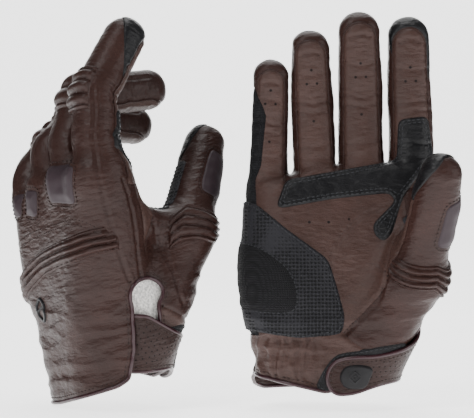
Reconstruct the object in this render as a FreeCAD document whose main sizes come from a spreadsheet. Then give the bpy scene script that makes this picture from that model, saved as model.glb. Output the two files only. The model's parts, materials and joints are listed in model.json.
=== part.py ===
"""A pair of leather riding gloves, each standing on its cuff with the fingers up.

Every glove is modelled in its own frame: the origin is the centre of the cuff opening, +Z runs
to the fingertips, the palm faces -Y and the right thumb points to +X. The left glove is the
mirror image: its X sizes carry the opposite sign. Each finished piece then gets the placement
of the rigid body that carries it: the hand, or a finger or thumb section at its own bend.
"""
import FreeCAD
import Part
import Sketcher
import math
import os
from FreeCAD import Placement, Rotation, Vector

X, Y, Z = Vector(1, 0, 0), Vector(0, 1, 0), Vector(0, 0, 1)
REACH = 90          # half size of the blocks that trim pieces, larger than any glove
SLACK = 0.1         # gap between two layers that are sewn to each other
RUNNING_GAP = 0.3   # gap between pieces that move against each other
LINING_GAP = 0.4    # gap between the leather and the lining
SUNK = 22           # how deep the stubs of fingers and thumb reach into the hand
SLIDER_WRAP = 6     # how far the palm slider reaches round the side towards the back

# ---------------------------------------------------------------- driving dimensions

SIZES = {
    "palm_width": 112,       # breadth over the knuckles
    "palm_length": 126,      # cuff edge to the roots of the fingers
    "palm_depth": 54,        # thickness through the middle of the palm
    "leather": 1.6,          # thickness of the outer leather
    "lining": 0.9,           # thickness of the lining
    "patch": 1.2,            # thickness of a sewn-on patch
    "hook": 0.72,            # thickness of the hook patch under the strap
    "slider": 2.4,           # thickness of the palm slider
    "guard": 3.0,            # thickness of the knuckle and thumb guards
    "rib": 2.2,              # height of the padded ribs on the back
    "strap": 1.8,            # thickness of the wrist strap
    "pull": 2.2,             # thickness of the rubber pull on the strap
    "hinge_depth": 4,        # how far a finger's bending axis lies towards the palm
    "root_gap": 6.5,         # half length of the soft sleeve at a finger's root
    "joint_gap": 7.5,        # half length of the soft sleeve at a middle joint
    "thumb_gap": 9.5,        # half length of the soft sleeve at the thumb's ribbed joint
    "thumb_length": 46,      # root of the thumb to its ribbed joint
    "thumb_base": 42,        # ribbed joint to the upper thumb joint
    "thumb_end": 36,         # upper thumb joint to the tip
    "thumb_root_radius": 18.4,
    "thumb_radius": 14.4,
    "thumb_tip_radius": 11.6,
    "thumb_guard_length": 0.42,   # as a share of thumb_end
    "thumb_guard_width": 0.6,     # half width as a share of thumb_radius
    "keyhole_radius": 9,
    "keyhole_height": 48,
    "keyhole_turn": 18,      # degrees from straight out at the thumb side towards the back
    "keyhole_centre": 0.12,  # point it is turned about, as a share of palm_width
    "slit_width": 4,
    "knit_edge": -0.385,     # inner edge of the knit side, as a share of palm_width
    "knit_start": 0.27,      # where the knit side and the thumb's panel begin up the palm
    "binding_height": 4.5,
    "strap_root": 30,        # where the strap is sewn, measured across from the glove's centre
}

# Each finger: place across the palm as a share of its width, height of the root axis above the
# palm's end, sideways lean, length of the first section and of the rest, and the two radii.
FINGERS = {
    "index": {"across": 0.4375, "rise": 15, "lean": -2, "base": 25, "end": 50.5,
              "radius": 13.2, "tip_radius": 11.8},
    "middle": {"across": 0.174, "rise": 16, "lean": -1.5, "base": 27, "end": 51,
               "radius": 13.4, "tip_radius": 12},
    "ring": {"across": -0.071, "rise": 14, "lean": -3, "base": 25, "end": 44.5,
             "radius": 12.6, "tip_radius": 11.4},
    "little": {"across": -0.3125, "rise": 7, "lean": 1.5, "base": 20, "end": 39,
               "radius": 11.2, "tip_radius": 10},
}

# How each glove is held: its place, tilt and turn, then the bends of the digits in degrees.
POSES = {
    "left": {"side": -1, "place": 0, "tilt": -13, "turn": 121,
             "index": (15, 28), "middle": (30, 64), "ring": (57, 48), "little": (50, 58),
             "thumb": (24, 2), "thumb_across": 26, "thumb_depth": -26, "thumb_height": 40,
             "thumb_spread": 10, "thumb_forward": 35, "thumb_roll": -80},
    "right": {"side": 1, "place": 127.4, "tilt": 0, "turn": 0,
              "index": (0, 6), "middle": (2, 8), "ring": (2, 8), "little": (2, 8),
              "thumb": (18, 2), "thumb_across": 26, "thumb_depth": -12, "thumb_height": 30,
              "thumb_spread": 32, "thumb_forward": 22, "thumb_roll": -68},
}

# Cross-sections of the hand: height as a share of palm_length, centre and half width as shares
# of palm_width, half depth as a share of palm_depth.
SECTIONS = [
    (0.000, -0.027, 0.366, 0.556),
    (0.206, -0.009, 0.375, 0.537),
    (0.492, 0.000, 0.446, 0.500),
    (0.794, 0.054, 0.491, 0.426),
    (1.000, 0.071, 0.500, 0.333),
]

# Outlines of the pieces laid on the hand, as shares of palm_width across and palm_length up.
OUTLINES = {
    "palm_slider": [(-0.60, 0.89), (-0.42, 0.89), (-0.38, 0.82), (-0.01, 0.60), (0.04, 0.47),
                    (0.08, 0.33), (0.06, 0.26), (-0.15, 0.24), (-0.60, 0.26)],
    "palm_grip_patch": [(-0.28, 0.85), (-0.23, 0.96), (0.35, 0.99), (0.50, 0.99), (0.52, 0.96),
                        (0.39, 0.91), (0.38, 0.89), (0.31, 0.71), (0.27, 0.68), (0.23, 0.71),
                        (0.22, 0.76), (0.36, 0.87), (0.31, 0.90), (0.01, 0.87)],
    "knuckle_guard": [(-0.40, 0.83), (-0.36, 0.98), (0.50, 0.99), (0.54, 0.86), (0.10, 0.82)],
    "back_ribs": [(-0.42, 0.57), (-0.42, 0.64), (0.28, 0.76), (0.42, 0.70), (0.40, 0.63),
                  (0.26, 0.67)],
    "loop_patch": [(-0.08, 0.045), (-0.08, 0.07), (0.02, 0.165), (0.37, 0.215), (0.37, 0.045)],
    "strap": [(-0.015, 0.045), (-0.015, 0.09), (0.09, 0.15), (0.41, 0.20), (0.60, 0.245),
              (0.60, 0.045), (0.32, 0.045), (0.19, 0.02), (0.05, 0.02)],
    "strap_badge": [(0.04, 0.05), (0.05, 0.11), (0.20, 0.12), (0.23, 0.03), (0.06, 0.03)],
    "hook_patch": [(0.00, 0.05), (0.00, 0.08), (0.09, 0.135), (0.25, 0.155), (0.25, 0.045)],
}

doc = FreeCAD.newDocument("riding_gloves")
sheet = doc.addObject("Spreadsheet::Sheet", "sizes")
pieces = {}


def fill_sheet():
    """Write every driving dimension into the sheet under its own alias."""
    entries = dict(SIZES)
    for finger, numbers in FINGERS.items():
        for name, number in numbers.items():
            entries[f"{finger}_{name}"] = number
    for row, (alias, number) in enumerate(entries.items(), start=1):
        sheet.set(f"A{row}", alias.replace("_", " "))
        sheet.set(f"B{row}", str(number))
        sheet.setAlias(f"B{row}", alias)
    doc.recompute()


def value(expression):
    """Work an expression in the sheet's names out to a plain number."""
    return float(sheet.evalExpression(expression))


# ---------------------------------------------------------------- small building steps


def make(kind, name, **bound):
    """Add an object and bind its properties to expressions."""
    item = doc.addObject(kind, name)
    for prop, expression in bound.items():
        item.setExpression(prop, expression)
    return item


def shift(x=0, y=0, z=0):
    return Placement(Vector(x, y, z), Rotation())


def turn(axis, degrees):
    return Placement(Vector(), Rotation(axis, degrees))


def cut(name, base, tool):
    item = doc.addObject("Part::Cut", name)
    item.Base = base
    item.Tool = tool
    return item


def common(name, base, tool):
    item = doc.addObject("Part::Common", name)
    item.Base = base
    item.Tool = tool
    return item


def fuse(name, members):
    item = doc.addObject("Part::MultiFuse", name)
    item.Shapes = members
    return item


def block(name, low, high):
    """A box between two corners, used to trim pieces."""
    item = doc.addObject("Part::Box", name)
    item.Length, item.Width, item.Height = [abs(b - a) for a, b in zip(low, high)]
    item.Placement = shift(*[min(a, b) for a, b in zip(low, high)])
    return item


def pin(sketch, line, end, across, up):
    """Hold one end of a sketched line at a place given by two expressions."""
    for kind, expression in (("DistanceX", across), ("DistanceY", up)):
        rule = Sketcher.Constraint(kind, -1, 1, line, end, value(expression))
        number = sketch.addConstraint(rule)
        sketch.setExpression(f"Constraints[{number}]", expression)


def slot_sketch(name, half_width, half_depth):
    """A slot about its own origin: two straight sides joined by two half circles."""
    sketch = doc.addObject("Sketcher::SketchObject", name)
    radius = value(half_depth)
    run = value(half_width) - radius
    right = Part.Circle(Vector(run, 0, 0), Z, radius)
    left = Part.Circle(Vector(-run, 0, 0), Z, radius)
    sketch.addGeometry([
        Part.LineSegment(Vector(-run, -radius, 0), Vector(run, -radius, 0)),
        Part.ArcOfCircle(right, -math.pi / 2, math.pi / 2),
        Part.LineSegment(Vector(run, radius, 0), Vector(-run, radius, 0)),
        Part.ArcOfCircle(left, math.pi / 2, 3 * math.pi / 2),
    ])
    for number in range(4):
        sketch.addConstraint(Sketcher.Constraint("Tangent", number, 2, (number + 1) % 4, 1))
    sketch.addConstraint(Sketcher.Constraint("Horizontal", 0))
    sketch.addConstraint(Sketcher.Constraint("Symmetric", 1, 3, 3, 3, -1, 1))
    depth = sketch.addConstraint(Sketcher.Constraint("Radius", 1, radius))
    sketch.setExpression(f"Constraints[{depth}]", half_depth)
    width = sketch.addConstraint(Sketcher.Constraint("DistanceX", 3, 3, 1, 3, 2 * run))
    sketch.setExpression(f"Constraints[{width}]", f"2 * ({half_width} - ({half_depth}))")
    return sketch


def outline_sketch(name, side, points):
    """A closed outline in the XZ plane through points given as shares of the palm's size."""
    sketch = doc.addObject("Sketcher::SketchObject", name)
    corners = [(f"sizes.palm_width * {across}", f"sizes.palm_length * {up}")
               for across, up in points]
    places = [Vector(value(across), value(up), 0) for across, up in corners]
    for number, place in enumerate(places):
        sketch.addGeometry(Part.LineSegment(place, places[(number + 1) % len(places)]))
    for number, (across, up) in enumerate(corners):
        following = (number + 1) % len(corners)
        sketch.addConstraint(Sketcher.Constraint("Coincident", number, 2, following, 1))
        pin(sketch, number, 1, across, up)
    facing = 0 if side > 0 else 180
    sketch.Placement = turn(Z, facing) * turn(X, 90)
    return sketch


def ring_body(name, profile):
    """A body of revolution about Z through corners given as (radius, height) expressions."""
    body = doc.addObject("PartDesign::Body", name)
    sketch = body.newObject("Sketcher::SketchObject", f"{name}_profile")
    upright = [f for f in body.Origin.OriginFeatures if f.Role == "XZ_Plane"][0]
    sketch.AttachmentSupport = [(upright, "")]
    sketch.MapMode = "FlatFace"
    places = [Vector(value(radius), value(height), 0) for radius, height in profile]
    for number, place in enumerate(places):
        sketch.addGeometry(Part.LineSegment(place, places[(number + 1) % len(places)]))
    for number, (radius, height) in enumerate(profile):
        following = (number + 1) % len(profile)
        sketch.addConstraint(Sketcher.Constraint("Coincident", number, 2, following, 1))
        pin(sketch, number, 1, radius, height)
    revolve(body, sketch, name)
    return body


def thimble_body(name, radius, tip_radius, start, length, wall):
    """A closed, round-ended tube about Z, open at its start."""
    body = doc.addObject("PartDesign::Body", name)
    sketch = body.newObject("Sketcher::SketchObject", f"{name}_profile")
    upright = [f for f in body.Origin.OriginFeatures if f.Role == "XZ_Plane"][0]
    sketch.AttachmentSupport = [(upright, "")]
    sketch.MapMode = "FlatFace"
    dome = f"({length} - {tip_radius})"
    corners = [
        (radius, start),
        (tip_radius, dome),
        ("0", length),
        ("0", f"{length} - {wall}"),
        (f"{tip_radius} - {wall}", dome),
        (f"{radius} - {wall}", start),
    ]
    places = [Vector(value(across), value(up), 0) for across, up in corners]
    centre = Vector(0, value(dome), 0)
    outer = Part.Circle(centre, Z, value(tip_radius))
    inner = Part.Circle(centre, Z, value(f"{tip_radius} - {wall}"))
    sketch.addGeometry([
        Part.LineSegment(places[0], places[1]),
        Part.ArcOfCircle(outer, 0, math.pi / 2),
        Part.LineSegment(places[2], places[3]),
        Part.ArcOfCircle(inner, 0, math.pi / 2),
        Part.LineSegment(places[4], places[5]),
        Part.LineSegment(places[5], places[0]),
    ])
    joins = [(0, 2, 1, 1), (1, 2, 2, 1), (2, 2, 3, 2), (3, 1, 4, 1), (4, 2, 5, 1), (5, 2, 0, 1)]
    for join in joins:
        sketch.addConstraint(Sketcher.Constraint("Coincident", *join))
    ends = [(0, 1), (0, 2), (2, 1), (2, 2), (4, 1), (4, 2)]
    for (line, end), (across, up) in zip(ends, corners):
        pin(sketch, line, end, across, up)
    for arc in (1, 3):
        sketch.addConstraint(Sketcher.Constraint("PointOnObject", arc, 3, -2))
    revolve(body, sketch, name)
    return body


def revolve(body, sketch, name):
    """Turn a profile once around the body's Z axis."""
    turned = body.newObject("PartDesign::Revolution", f"{name}_turned")
    turned.Profile = sketch
    turned.ReferenceAxis = (sketch, ["V_Axis"])
    turned.Angle = 360
    sketch.Visibility = False


def publish(item, node, placement):
    """Name a finished sub-part and put it where its body stands."""
    item.Label = node
    item.Placement = placement
    pieces[node] = item


# ---------------------------------------------------------------- one glove


class Glove:
    """Builds the sub-parts of one glove from the shared sizes."""

    def __init__(self, name):
        self.name = name
        self.pose = POSES[name]
        self.side = self.pose["side"]
        self.at_hand = (shift(x=self.pose["place"]) * turn(Y, self.pose["tilt"])
                        * turn(Z, self.pose["turn"]))
        self.set_thumb_frames()
        self.forms = {}

    def node(self, piece):
        return f"{self.name}_{piece}"

    def set_thumb_frames(self):
        """Frames of the thumb's root, its ribbed joint and its upper joint, in glove axes."""
        pose = self.pose
        bend_low, bend_high = pose["thumb"]
        self.thumb_root = (
            shift(self.side * pose["thumb_across"], pose["thumb_depth"], pose["thumb_height"])
            * turn(Y, self.side * pose["thumb_spread"]) * turn(X, pose["thumb_forward"])
            * turn(Z, self.side * pose["thumb_roll"]))
        self.thumb_low = (self.thumb_root * shift(z=value("sizes.thumb_length"))
                          * turn(X, bend_low))
        self.thumb_high = (self.thumb_low * shift(z=value("sizes.thumb_base"))
                           * turn(X, bend_high))

    def form(self, growth, below="0"):
        """The hand as a solid loft, grown outwards by an expression; cached by its growth."""
        key = (growth, below)
        if key in self.forms:
            return self.forms[key]
        name = self.node(f"form_{len(self.forms)}")
        sections = []
        for number, (up, centre, wide, deep) in enumerate(SECTIONS):
            sketch = slot_sketch(f"{name}_section_{number}",
                                 f"(sizes.palm_width * {wide} + {growth})",
                                 f"(sizes.palm_depth * {deep} + {growth})")
            drop = f" - {below}" if number == 0 else ""
            rise = f" + {growth}" if number == len(SECTIONS) - 1 else ""
            sketch.setExpression("Placement.Base.z", f"sizes.palm_length * {up}{drop}{rise}")
            sketch.setExpression("Placement.Base.x",
                                 f"{self.side} * sizes.palm_width * {centre}")
            sections.append(sketch)
        loft = doc.addObject("Part::Loft", name)
        loft.Sections = sections
        loft.Solid = True
        self.forms[key] = loft
        return loft

    def finger_frame(self, finger):
        """Frame on a finger's own axis at the height of its root hinge, not bent."""
        return (shift(self.side * value(f"sizes.palm_width * sizes.{finger}_across"), 0,
                      value(f"sizes.palm_length + sizes.{finger}_rise"))
                * turn(Y, self.side * value(f"sizes.{finger}_lean")))

    def hand_mass(self, name, growth, below="0", beyond=0):
        """The hand form joined with the short stubs that the fingers grow from."""
        members = [self.form(growth, below)]
        for finger in FINGERS:
            stub = make("Part::Cylinder", self.node(f"{name}_{finger}"),
                        Radius=f"sizes.{finger}_radius + {growth}",
                        Height=f"{SUNK} - sizes.root_gap + {beyond}")
            stub.Placement = self.finger_frame(finger) * shift(z=-SUNK)
            members.append(stub)
        return fuse(self.node(name), members)

    def thumb_cone(self, name, growth, beyond=0):
        """The cone that the thumb leaves the hand through."""
        cone = make("Part::Cone", self.node(name),
                    Radius1=f"sizes.thumb_root_radius + {growth}",
                    Radius2=f"sizes.thumb_radius + {growth}",
                    Height=f"{SUNK} + sizes.thumb_length - sizes.thumb_gap + {beyond}")
        cone.Placement = self.thumb_root * shift(z=-SUNK)
        return cone

    def overlay(self, piece, low, high, direction, wrap=0):
        """A layer of the hand's surface, from low to high above it, inside an outline."""
        ring = cut(self.node(f"{piece}_layer"), self.form(high), self.form(low))
        outline = outline_sketch(self.node(f"{piece}_outline"), self.side, OUTLINES[piece])
        prism = doc.addObject("Part::Extrusion", self.node(f"{piece}_prism"))
        prism.Base = outline
        prism.DirMode = "Custom"
        prism.Dir = Vector(0, direction, 0)
        prism.LengthFwd = REACH
        prism.LengthRev = wrap
        prism.Solid = True
        return common(self.node(f"{piece}_piece"), ring, prism)

    # ------------------------------------------------------------ hand

    def hand_shell(self):
        """Leather hand, hollow, open at the cuff, at every finger and at the thumb."""
        outside = self.hand_mass("outside", "0")
        inside = self.hand_mass("inside", "(-sizes.leather)", below="2", beyond=1)
        shell = cut(self.node("shell"), outside, inside)
        return cut(self.node("shell_open"), shell, self.thumb_cone("thumb_tunnel",
                                                                   "(-sizes.leather)", 2))

    def keyhole(self):
        """Vent hole and slit on the thumb side of the cuff, a little towards the back."""
        angle = value("sizes.keyhole_turn")
        hole = make("Part::Cylinder", self.node("keyhole_round"),
                    Radius="sizes.keyhole_radius")
        hole.Height = REACH
        outward = turn(Z, angle if self.side > 0 else 180 - angle)
        centre = shift(self.side * value("sizes.palm_width * sizes.keyhole_centre"), 0, 0) * outward
        hole.Placement = centre * shift(z=value("sizes.keyhole_height")) * turn(Y, 90)
        slit = make("Part::Box", self.node("keyhole_slit"), Width="sizes.slit_width",
                    Height="sizes.keyhole_height + 5")
        slit.Length = REACH
        slit.Placement = centre * shift(0, -value("sizes.slit_width") / 2, -5)
        return fuse(self.node("keyhole"), [hole, slit])

    def build_hand(self):
        shell = self.hand_shell()
        keyhole = self.keyhole()
        edge = self.side * value("sizes.palm_width * sizes.knit_edge")
        side_low = value("sizes.palm_length * sizes.knit_start")
        far = -self.side * REACH
        ulnar = (far, -REACH, side_low), (edge, REACH, 2 * REACH)
        side = common(self.node("side_piece"), shell, block(self.node("side_block"), *ulnar))
        publish(side, self.node("side_panel"), self.at_hand)
        body = cut(self.node("shell_rest"), shell, block(self.node("side_gap"), *ulnar))
        back_half = block(self.node("back_half"), (-REACH, SLACK / 2, -REACH),
                          (REACH, REACH, 2 * REACH))
        palm_half = block(self.node("palm_half"), (-REACH, -REACH, -REACH),
                          (REACH, -SLACK / 2, 2 * REACH))
        back = cut(self.node("back_piece"), common(self.node("back_whole"), body, back_half),
                   keyhole)
        publish(back, self.node("back_panel"), self.at_hand)
        palm = common(self.node("palm_piece"), body, palm_half)
        publish(palm, self.node("palm_panel"), self.at_hand)
        self.build_lining()
        self.build_binding(keyhole)
        self.build_thumb_panel()

    def build_lining(self):
        """Soft lining just inside the leather, whole behind the keyhole."""
        outer_growth = f"(-sizes.leather - {LINING_GAP})"
        inner_growth = f"(-sizes.leather - {LINING_GAP} - sizes.lining)"
        outer = self.hand_mass("lining_outside", outer_growth, below="2")
        inner = self.hand_mass("lining_inside", inner_growth, below="2", beyond=1)
        whole = cut(self.node("lining_whole"), outer, inner)
        below_cuff = block(self.node("lining_end"), (-REACH, -REACH, -REACH),
                           (REACH, REACH, 0))
        level = cut(self.node("lining_level"), whole, below_cuff)
        opened = cut(self.node("lining_piece"), level,
                     self.thumb_cone("lining_tunnel", "(-sizes.leather)", 2))
        publish(opened, self.node("hand_lining"), self.at_hand)

    def build_binding(self, keyhole):
        """Bound hem of the cuff, open at the slit."""
        ring = cut(self.node("binding_layer"), self.form("sizes.patch"), self.form(f"{SLACK}"))
        top = value("sizes.binding_height")
        band = common(self.node("binding_band"), ring,
                      block(self.node("binding_block"), (-REACH, -REACH, 0),
                            (REACH, REACH, top)))
        publish(cut(self.node("binding_piece"), band, keyhole), self.node("cuff_binding"),
                self.at_hand)

    def build_thumb_panel(self):
        """Leather tube over the ball of the thumb, sewn to the hand along its trimmed edge."""
        tube = cut(self.node("thumb_tube"), self.thumb_cone("thumb_outside", "0"),
                   self.thumb_cone("thumb_inside", "(-sizes.leather)", 2))
        trimmed = cut(self.node("thumb_trimmed"), tube, self.form(f"{SLACK}"))
        low = value("sizes.palm_length * sizes.knit_start")
        clear = block(self.node("thumb_clear"), (-REACH, -REACH, -REACH), (REACH, REACH, low))
        above = cut(self.node("thumb_above"), trimmed, clear)
        publish(above, self.node("thumb_panel"), self.at_hand)

    def build_overlays(self):
        """Pieces sewn on the palm and on the back."""
        low = f"{SLACK}"
        slider = self.overlay("palm_slider", low, f"({SLACK} + sizes.slider)", -1,
                              wrap=SLIDER_WRAP)
        publish(slider, self.node("palm_slider"), self.at_hand)
        grip = self.overlay("palm_grip_patch", low, f"({SLACK} + sizes.patch)", -1)
        grip = cut(self.node("grip_trimmed"), grip, self.thumb_cone("grip_clear", f"{SLACK}"))
        publish(grip, self.node("palm_grip_patch"), self.at_hand)
        loop = self.overlay("loop_patch", low, f"({SLACK} + sizes.patch)", -1)
        publish(loop, self.node("loop_patch"), self.at_hand)
        guard = self.overlay("knuckle_guard", low, f"({SLACK} + sizes.guard)", 1)
        publish(guard, self.node("knuckle_guard"), self.at_hand)
        ribs = self.overlay("back_ribs", low, f"({SLACK} + sizes.rib)", 1)
        publish(ribs, self.node("back_ribs"), self.at_hand)

    # ------------------------------------------------------------ wrist strap

    def build_strap(self):
        """Strap around the thumb side, with its hook patch inside and rubber pull outside."""
        hook_low = f"({SLACK} + sizes.patch + {RUNNING_GAP})"
        hook_high = f"({hook_low} + sizes.hook)"
        strap_low = f"({hook_high} + {SLACK})"
        strap_high = f"({strap_low} + sizes.strap)"
        band = self.overlay("strap", strap_low, strap_high, -1, wrap=REACH)
        root = self.side * value("sizes.strap_root")
        behind = block(self.node("strap_behind"), (-self.side * REACH, 0, -REACH),
                       (root, REACH, REACH))
        publish(cut(self.node("strap_piece_open"), band, behind), self.node("strap"),
                self.at_hand)
        hook = self.overlay("hook_patch", hook_low, hook_high, -1)
        publish(hook, self.node("hook_patch"), self.at_hand)
        pull_low = f"({strap_high} + {SLACK})"
        pull = self.overlay("strap_badge", pull_low, f"({pull_low} + sizes.pull)", -1)
        publish(pull, self.node("strap_badge"), self.at_hand)

    # ------------------------------------------------------------ digits

    def sleeve(self, name, radius, before, after, gap):
        """Soft sleeve across a joint, between two frames whose Z axes it follows."""
        lofts = []
        for layer, growth, beyond in (("out", "0", 0), ("in", "(-sizes.leather)", 0.6)):
            reach = value(gap) + beyond
            middle = Placement(
                (before.multVec(Vector(0, 0, 0)) + after.multVec(Vector(0, 0, 0))) / 2,
                before.Rotation.slerp(after.Rotation, 0.5))
            stations = [before * shift(z=-reach), middle, after * shift(z=reach - RUNNING_GAP)]
            circles = []
            for number, station in enumerate(stations):
                circle = make("Part::Circle", f"{name}_{layer}_{number}",
                              Radius=f"{radius} + {growth}")
                circle.Placement = station
                circles.append(circle)
            loft = doc.addObject("Part::Loft", f"{name}_{layer}")
            loft.Sections = circles
            loft.Solid = True
            lofts.append(loft)
        return cut(name, *lofts)

    def build_finger(self, finger):
        """First section, round-ended last section and the two sleeves of one finger."""
        root_bend, middle_bend = self.pose[finger]
        depth = value("sizes.hinge_depth")
        straight = self.finger_frame(finger)
        base = straight * shift(y=-depth) * turn(X, root_bend) * shift(y=depth)
        joint = base * shift(z=value(f"sizes.{finger}_base"))
        end = joint * shift(y=-depth) * turn(X, middle_bend) * shift(y=depth)
        radius = f"sizes.{finger}_radius"
        joint_radius = f"((sizes.{finger}_radius + sizes.{finger}_tip_radius) / 2 + 0.2)"
        wall = "sizes.leather"
        tube_end = f"(sizes.{finger}_base - sizes.joint_gap)"
        tube = ring_body(self.node(f"{finger}_tube"), [
            (radius, "sizes.root_gap"),
            (joint_radius, tube_end),
            (f"{joint_radius} - {wall}", tube_end),
            (f"{radius} - {wall}", "sizes.root_gap"),
        ])
        publish(tube, self.node(f"{finger}_base"), self.at_hand * base)
        tip = thimble_body(self.node(f"{finger}_thimble"), joint_radius,
                           f"sizes.{finger}_tip_radius", "sizes.joint_gap",
                           f"sizes.{finger}_end", wall)
        publish(tip, self.node(f"{finger}_tip"), self.at_hand * end)
        sleeves = doc.addObject("Part::Compound", self.node(f"{finger}_sleeves"))
        sleeves.Links = [
            self.sleeve(self.node(f"{finger}_root_sleeve"), f"({radius} - 0.05)", straight,
                        base, f"sizes.root_gap - {SLACK}"),
            self.sleeve(self.node(f"{finger}_joint_sleeve"), joint_radius, joint, end,
                        f"sizes.joint_gap - {SLACK}"),
        ]
        publish(sleeves, self.node(f"{finger}_gussets"), self.at_hand)

    def build_thumb(self):
        """Tube between the thumb's two joints, its tip, its guard and its two sleeves."""
        wall = "sizes.leather"
        middle_radius = "(sizes.thumb_radius - 1)"
        tube_end = "(sizes.thumb_base - sizes.root_gap)"
        tube = ring_body(self.node("thumb_section"), [
            ("sizes.thumb_radius", "sizes.thumb_gap"),
            (middle_radius, tube_end),
            (f"{middle_radius} - {wall}", tube_end),
            (f"sizes.thumb_radius - {wall}", "sizes.thumb_gap"),
        ])
        publish(tube, self.node("thumb_base"), self.at_hand * self.thumb_low)
        tip = thimble_body(self.node("thumb_thimble"), middle_radius,
                           "sizes.thumb_tip_radius", "sizes.root_gap", "sizes.thumb_end", wall)
        publish(tip, self.node("thumb_tip"), self.at_hand * self.thumb_high)
        self.build_thumb_guard(middle_radius)
        sleeves = doc.addObject("Part::Compound", self.node("thumb_sleeves"))
        straight_low = self.thumb_root * shift(z=value("sizes.thumb_length"))
        straight_high = self.thumb_low * shift(z=value("sizes.thumb_base"))
        low_sleeve = self.sleeve(self.node("thumb_low_sleeve"), "sizes.thumb_radius",
                                 straight_low, self.thumb_low, f"sizes.thumb_gap - {SLACK}")
        sleeves.Links = [
            cut(self.node("thumb_low_trimmed"), low_sleeve, self.form(f"{SLACK}")),
            self.sleeve(self.node("thumb_high_sleeve"), middle_radius, straight_high,
                        self.thumb_high, f"sizes.root_gap - {SLACK}"),
        ]
        publish(sleeves, self.node("thumb_gussets"), self.at_hand)

    def build_thumb_guard(self, radius):
        """Moulded pad on the back of the thumb's tip."""
        height = value("sizes.thumb_end * sizes.thumb_guard_length")
        start = value("sizes.root_gap") + 1
        layers = []
        for layer, growth in (("outer", f"{SLACK} + sizes.guard"), ("inner", f"{SLACK}")):
            tube = make("Part::Cylinder", self.node(f"thumb_guard_{layer}"),
                        Radius=f"{radius} + {growth}")
            tube.Height = height
            tube.Placement = shift(z=start)
            layers.append(tube)
        half = value("sizes.thumb_radius * sizes.thumb_guard_width")
        window = block(self.node("thumb_guard_block"), (-half, 0, 0), (half, REACH, REACH))
        ring = cut(self.node("thumb_guard_ring"), *layers)
        guard = common(self.node("thumb_guard_piece"), ring, window)
        publish(guard, self.node("thumb_guard"), self.at_hand * self.thumb_high)

    def build(self):
        self.build_hand()
        self.build_overlays()
        self.build_strap()
        for finger in FINGERS:
            self.build_finger(finger)
        self.build_thumb()


def check():
    """Stop unless every object is sound and every sub-part is a valid, closed solid."""
    faults = []
    for item in doc.Objects:
        if "Invalid" in item.State or "Error" in item.State:
            faults.append(f"{item.Name} {item.State}")
    for node, item in pieces.items():
        shape = item.Shape
        if shape.isNull() or not shape.isValid() or not shape.Solids:
            faults.append(f"{node} has no valid solid")
    if faults:
        raise RuntimeError("; ".join(faults))


def write():
    os.makedirs("parts", exist_ok=True)
    for node, item in pieces.items():
        item.Shape.exportStep(f"parts/{node}.step")
        print(f"{node}: {len(item.Shape.Solids)} solid, {item.Shape.Volume:.0f} mm3")


fill_sheet()
for glove in POSES:
    Glove(glove).build()
doc.recompute()
check()
write()
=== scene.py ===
"""Looks of a pair of leather riding gloves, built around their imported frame.

Both gloves are made from one pattern. It is drawn in glove axes, in millimetres, for a right
hand with straight fingers: +Z runs to the fingertips, the palm faces -Y and the thumb is at +X.
A skin is grown from that pattern, pieces are cut from the skin along smooth outlines, and the
finished pieces are bent at the knuckles, mirrored for the left hand and set in the frame.
"""
import json
import math

import bpy
import numpy as np
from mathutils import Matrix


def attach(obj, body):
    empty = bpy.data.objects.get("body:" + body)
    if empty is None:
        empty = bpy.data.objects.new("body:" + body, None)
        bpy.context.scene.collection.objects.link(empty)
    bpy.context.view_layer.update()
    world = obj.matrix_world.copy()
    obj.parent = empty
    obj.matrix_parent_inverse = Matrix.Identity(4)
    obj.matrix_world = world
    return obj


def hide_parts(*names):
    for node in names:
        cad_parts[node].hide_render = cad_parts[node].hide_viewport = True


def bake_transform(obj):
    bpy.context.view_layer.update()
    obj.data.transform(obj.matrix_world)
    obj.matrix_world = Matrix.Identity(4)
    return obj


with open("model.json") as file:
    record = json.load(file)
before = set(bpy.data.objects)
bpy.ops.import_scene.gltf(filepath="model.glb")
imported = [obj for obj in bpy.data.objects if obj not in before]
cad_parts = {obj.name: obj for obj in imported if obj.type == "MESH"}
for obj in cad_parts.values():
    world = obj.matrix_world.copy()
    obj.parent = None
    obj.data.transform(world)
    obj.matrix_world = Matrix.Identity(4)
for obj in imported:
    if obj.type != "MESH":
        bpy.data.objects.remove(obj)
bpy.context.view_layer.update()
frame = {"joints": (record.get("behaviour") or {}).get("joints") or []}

import openvdb
from bpy.props import FloatProperty, FloatVectorProperty, PointerProperty
from mathutils import Vector, noise
from mathutils.bvhtree import BVHTree
from mathutils.kdtree import KDTree

bl_info = {
    "name": "Riding gloves",
    "version": (1, 0, 0),
    "blender": (4, 5, 0),
    "location": "3D View > Sidebar > Gloves",
    "description": "Builds the leather, stitching and hardware of a pair of riding gloves",
    "category": "Object",
}

TO_METRES = 0.001
JOINTS = {joint["name"]: joint for joint in frame["joints"]}

# ---------------------------------------------------------------- the pattern's sizes, in mm

PALM_LENGTH = 126
HINGE_DEPTH = 4        # a finger's bending axis lies this far towards the palm
ROOT_ZONE = 7.5        # half length of the stretch that bends at a finger's root
MIDDLE_ZONE = 8.5      # the same at a middle joint

# Hand cross-sections: height, centre across, half width, half depth.
SECTIONS = np.array([
    (-14, -3, 41.5, 30.5),
    (0, -3, 41, 30),
    (26, -1, 42, 29),
    (62, 0, 50, 27),
    (100, 6, 55, 23),
    (126, 8, 56, 18),
    (140, 8, 56, 17),
])

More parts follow.
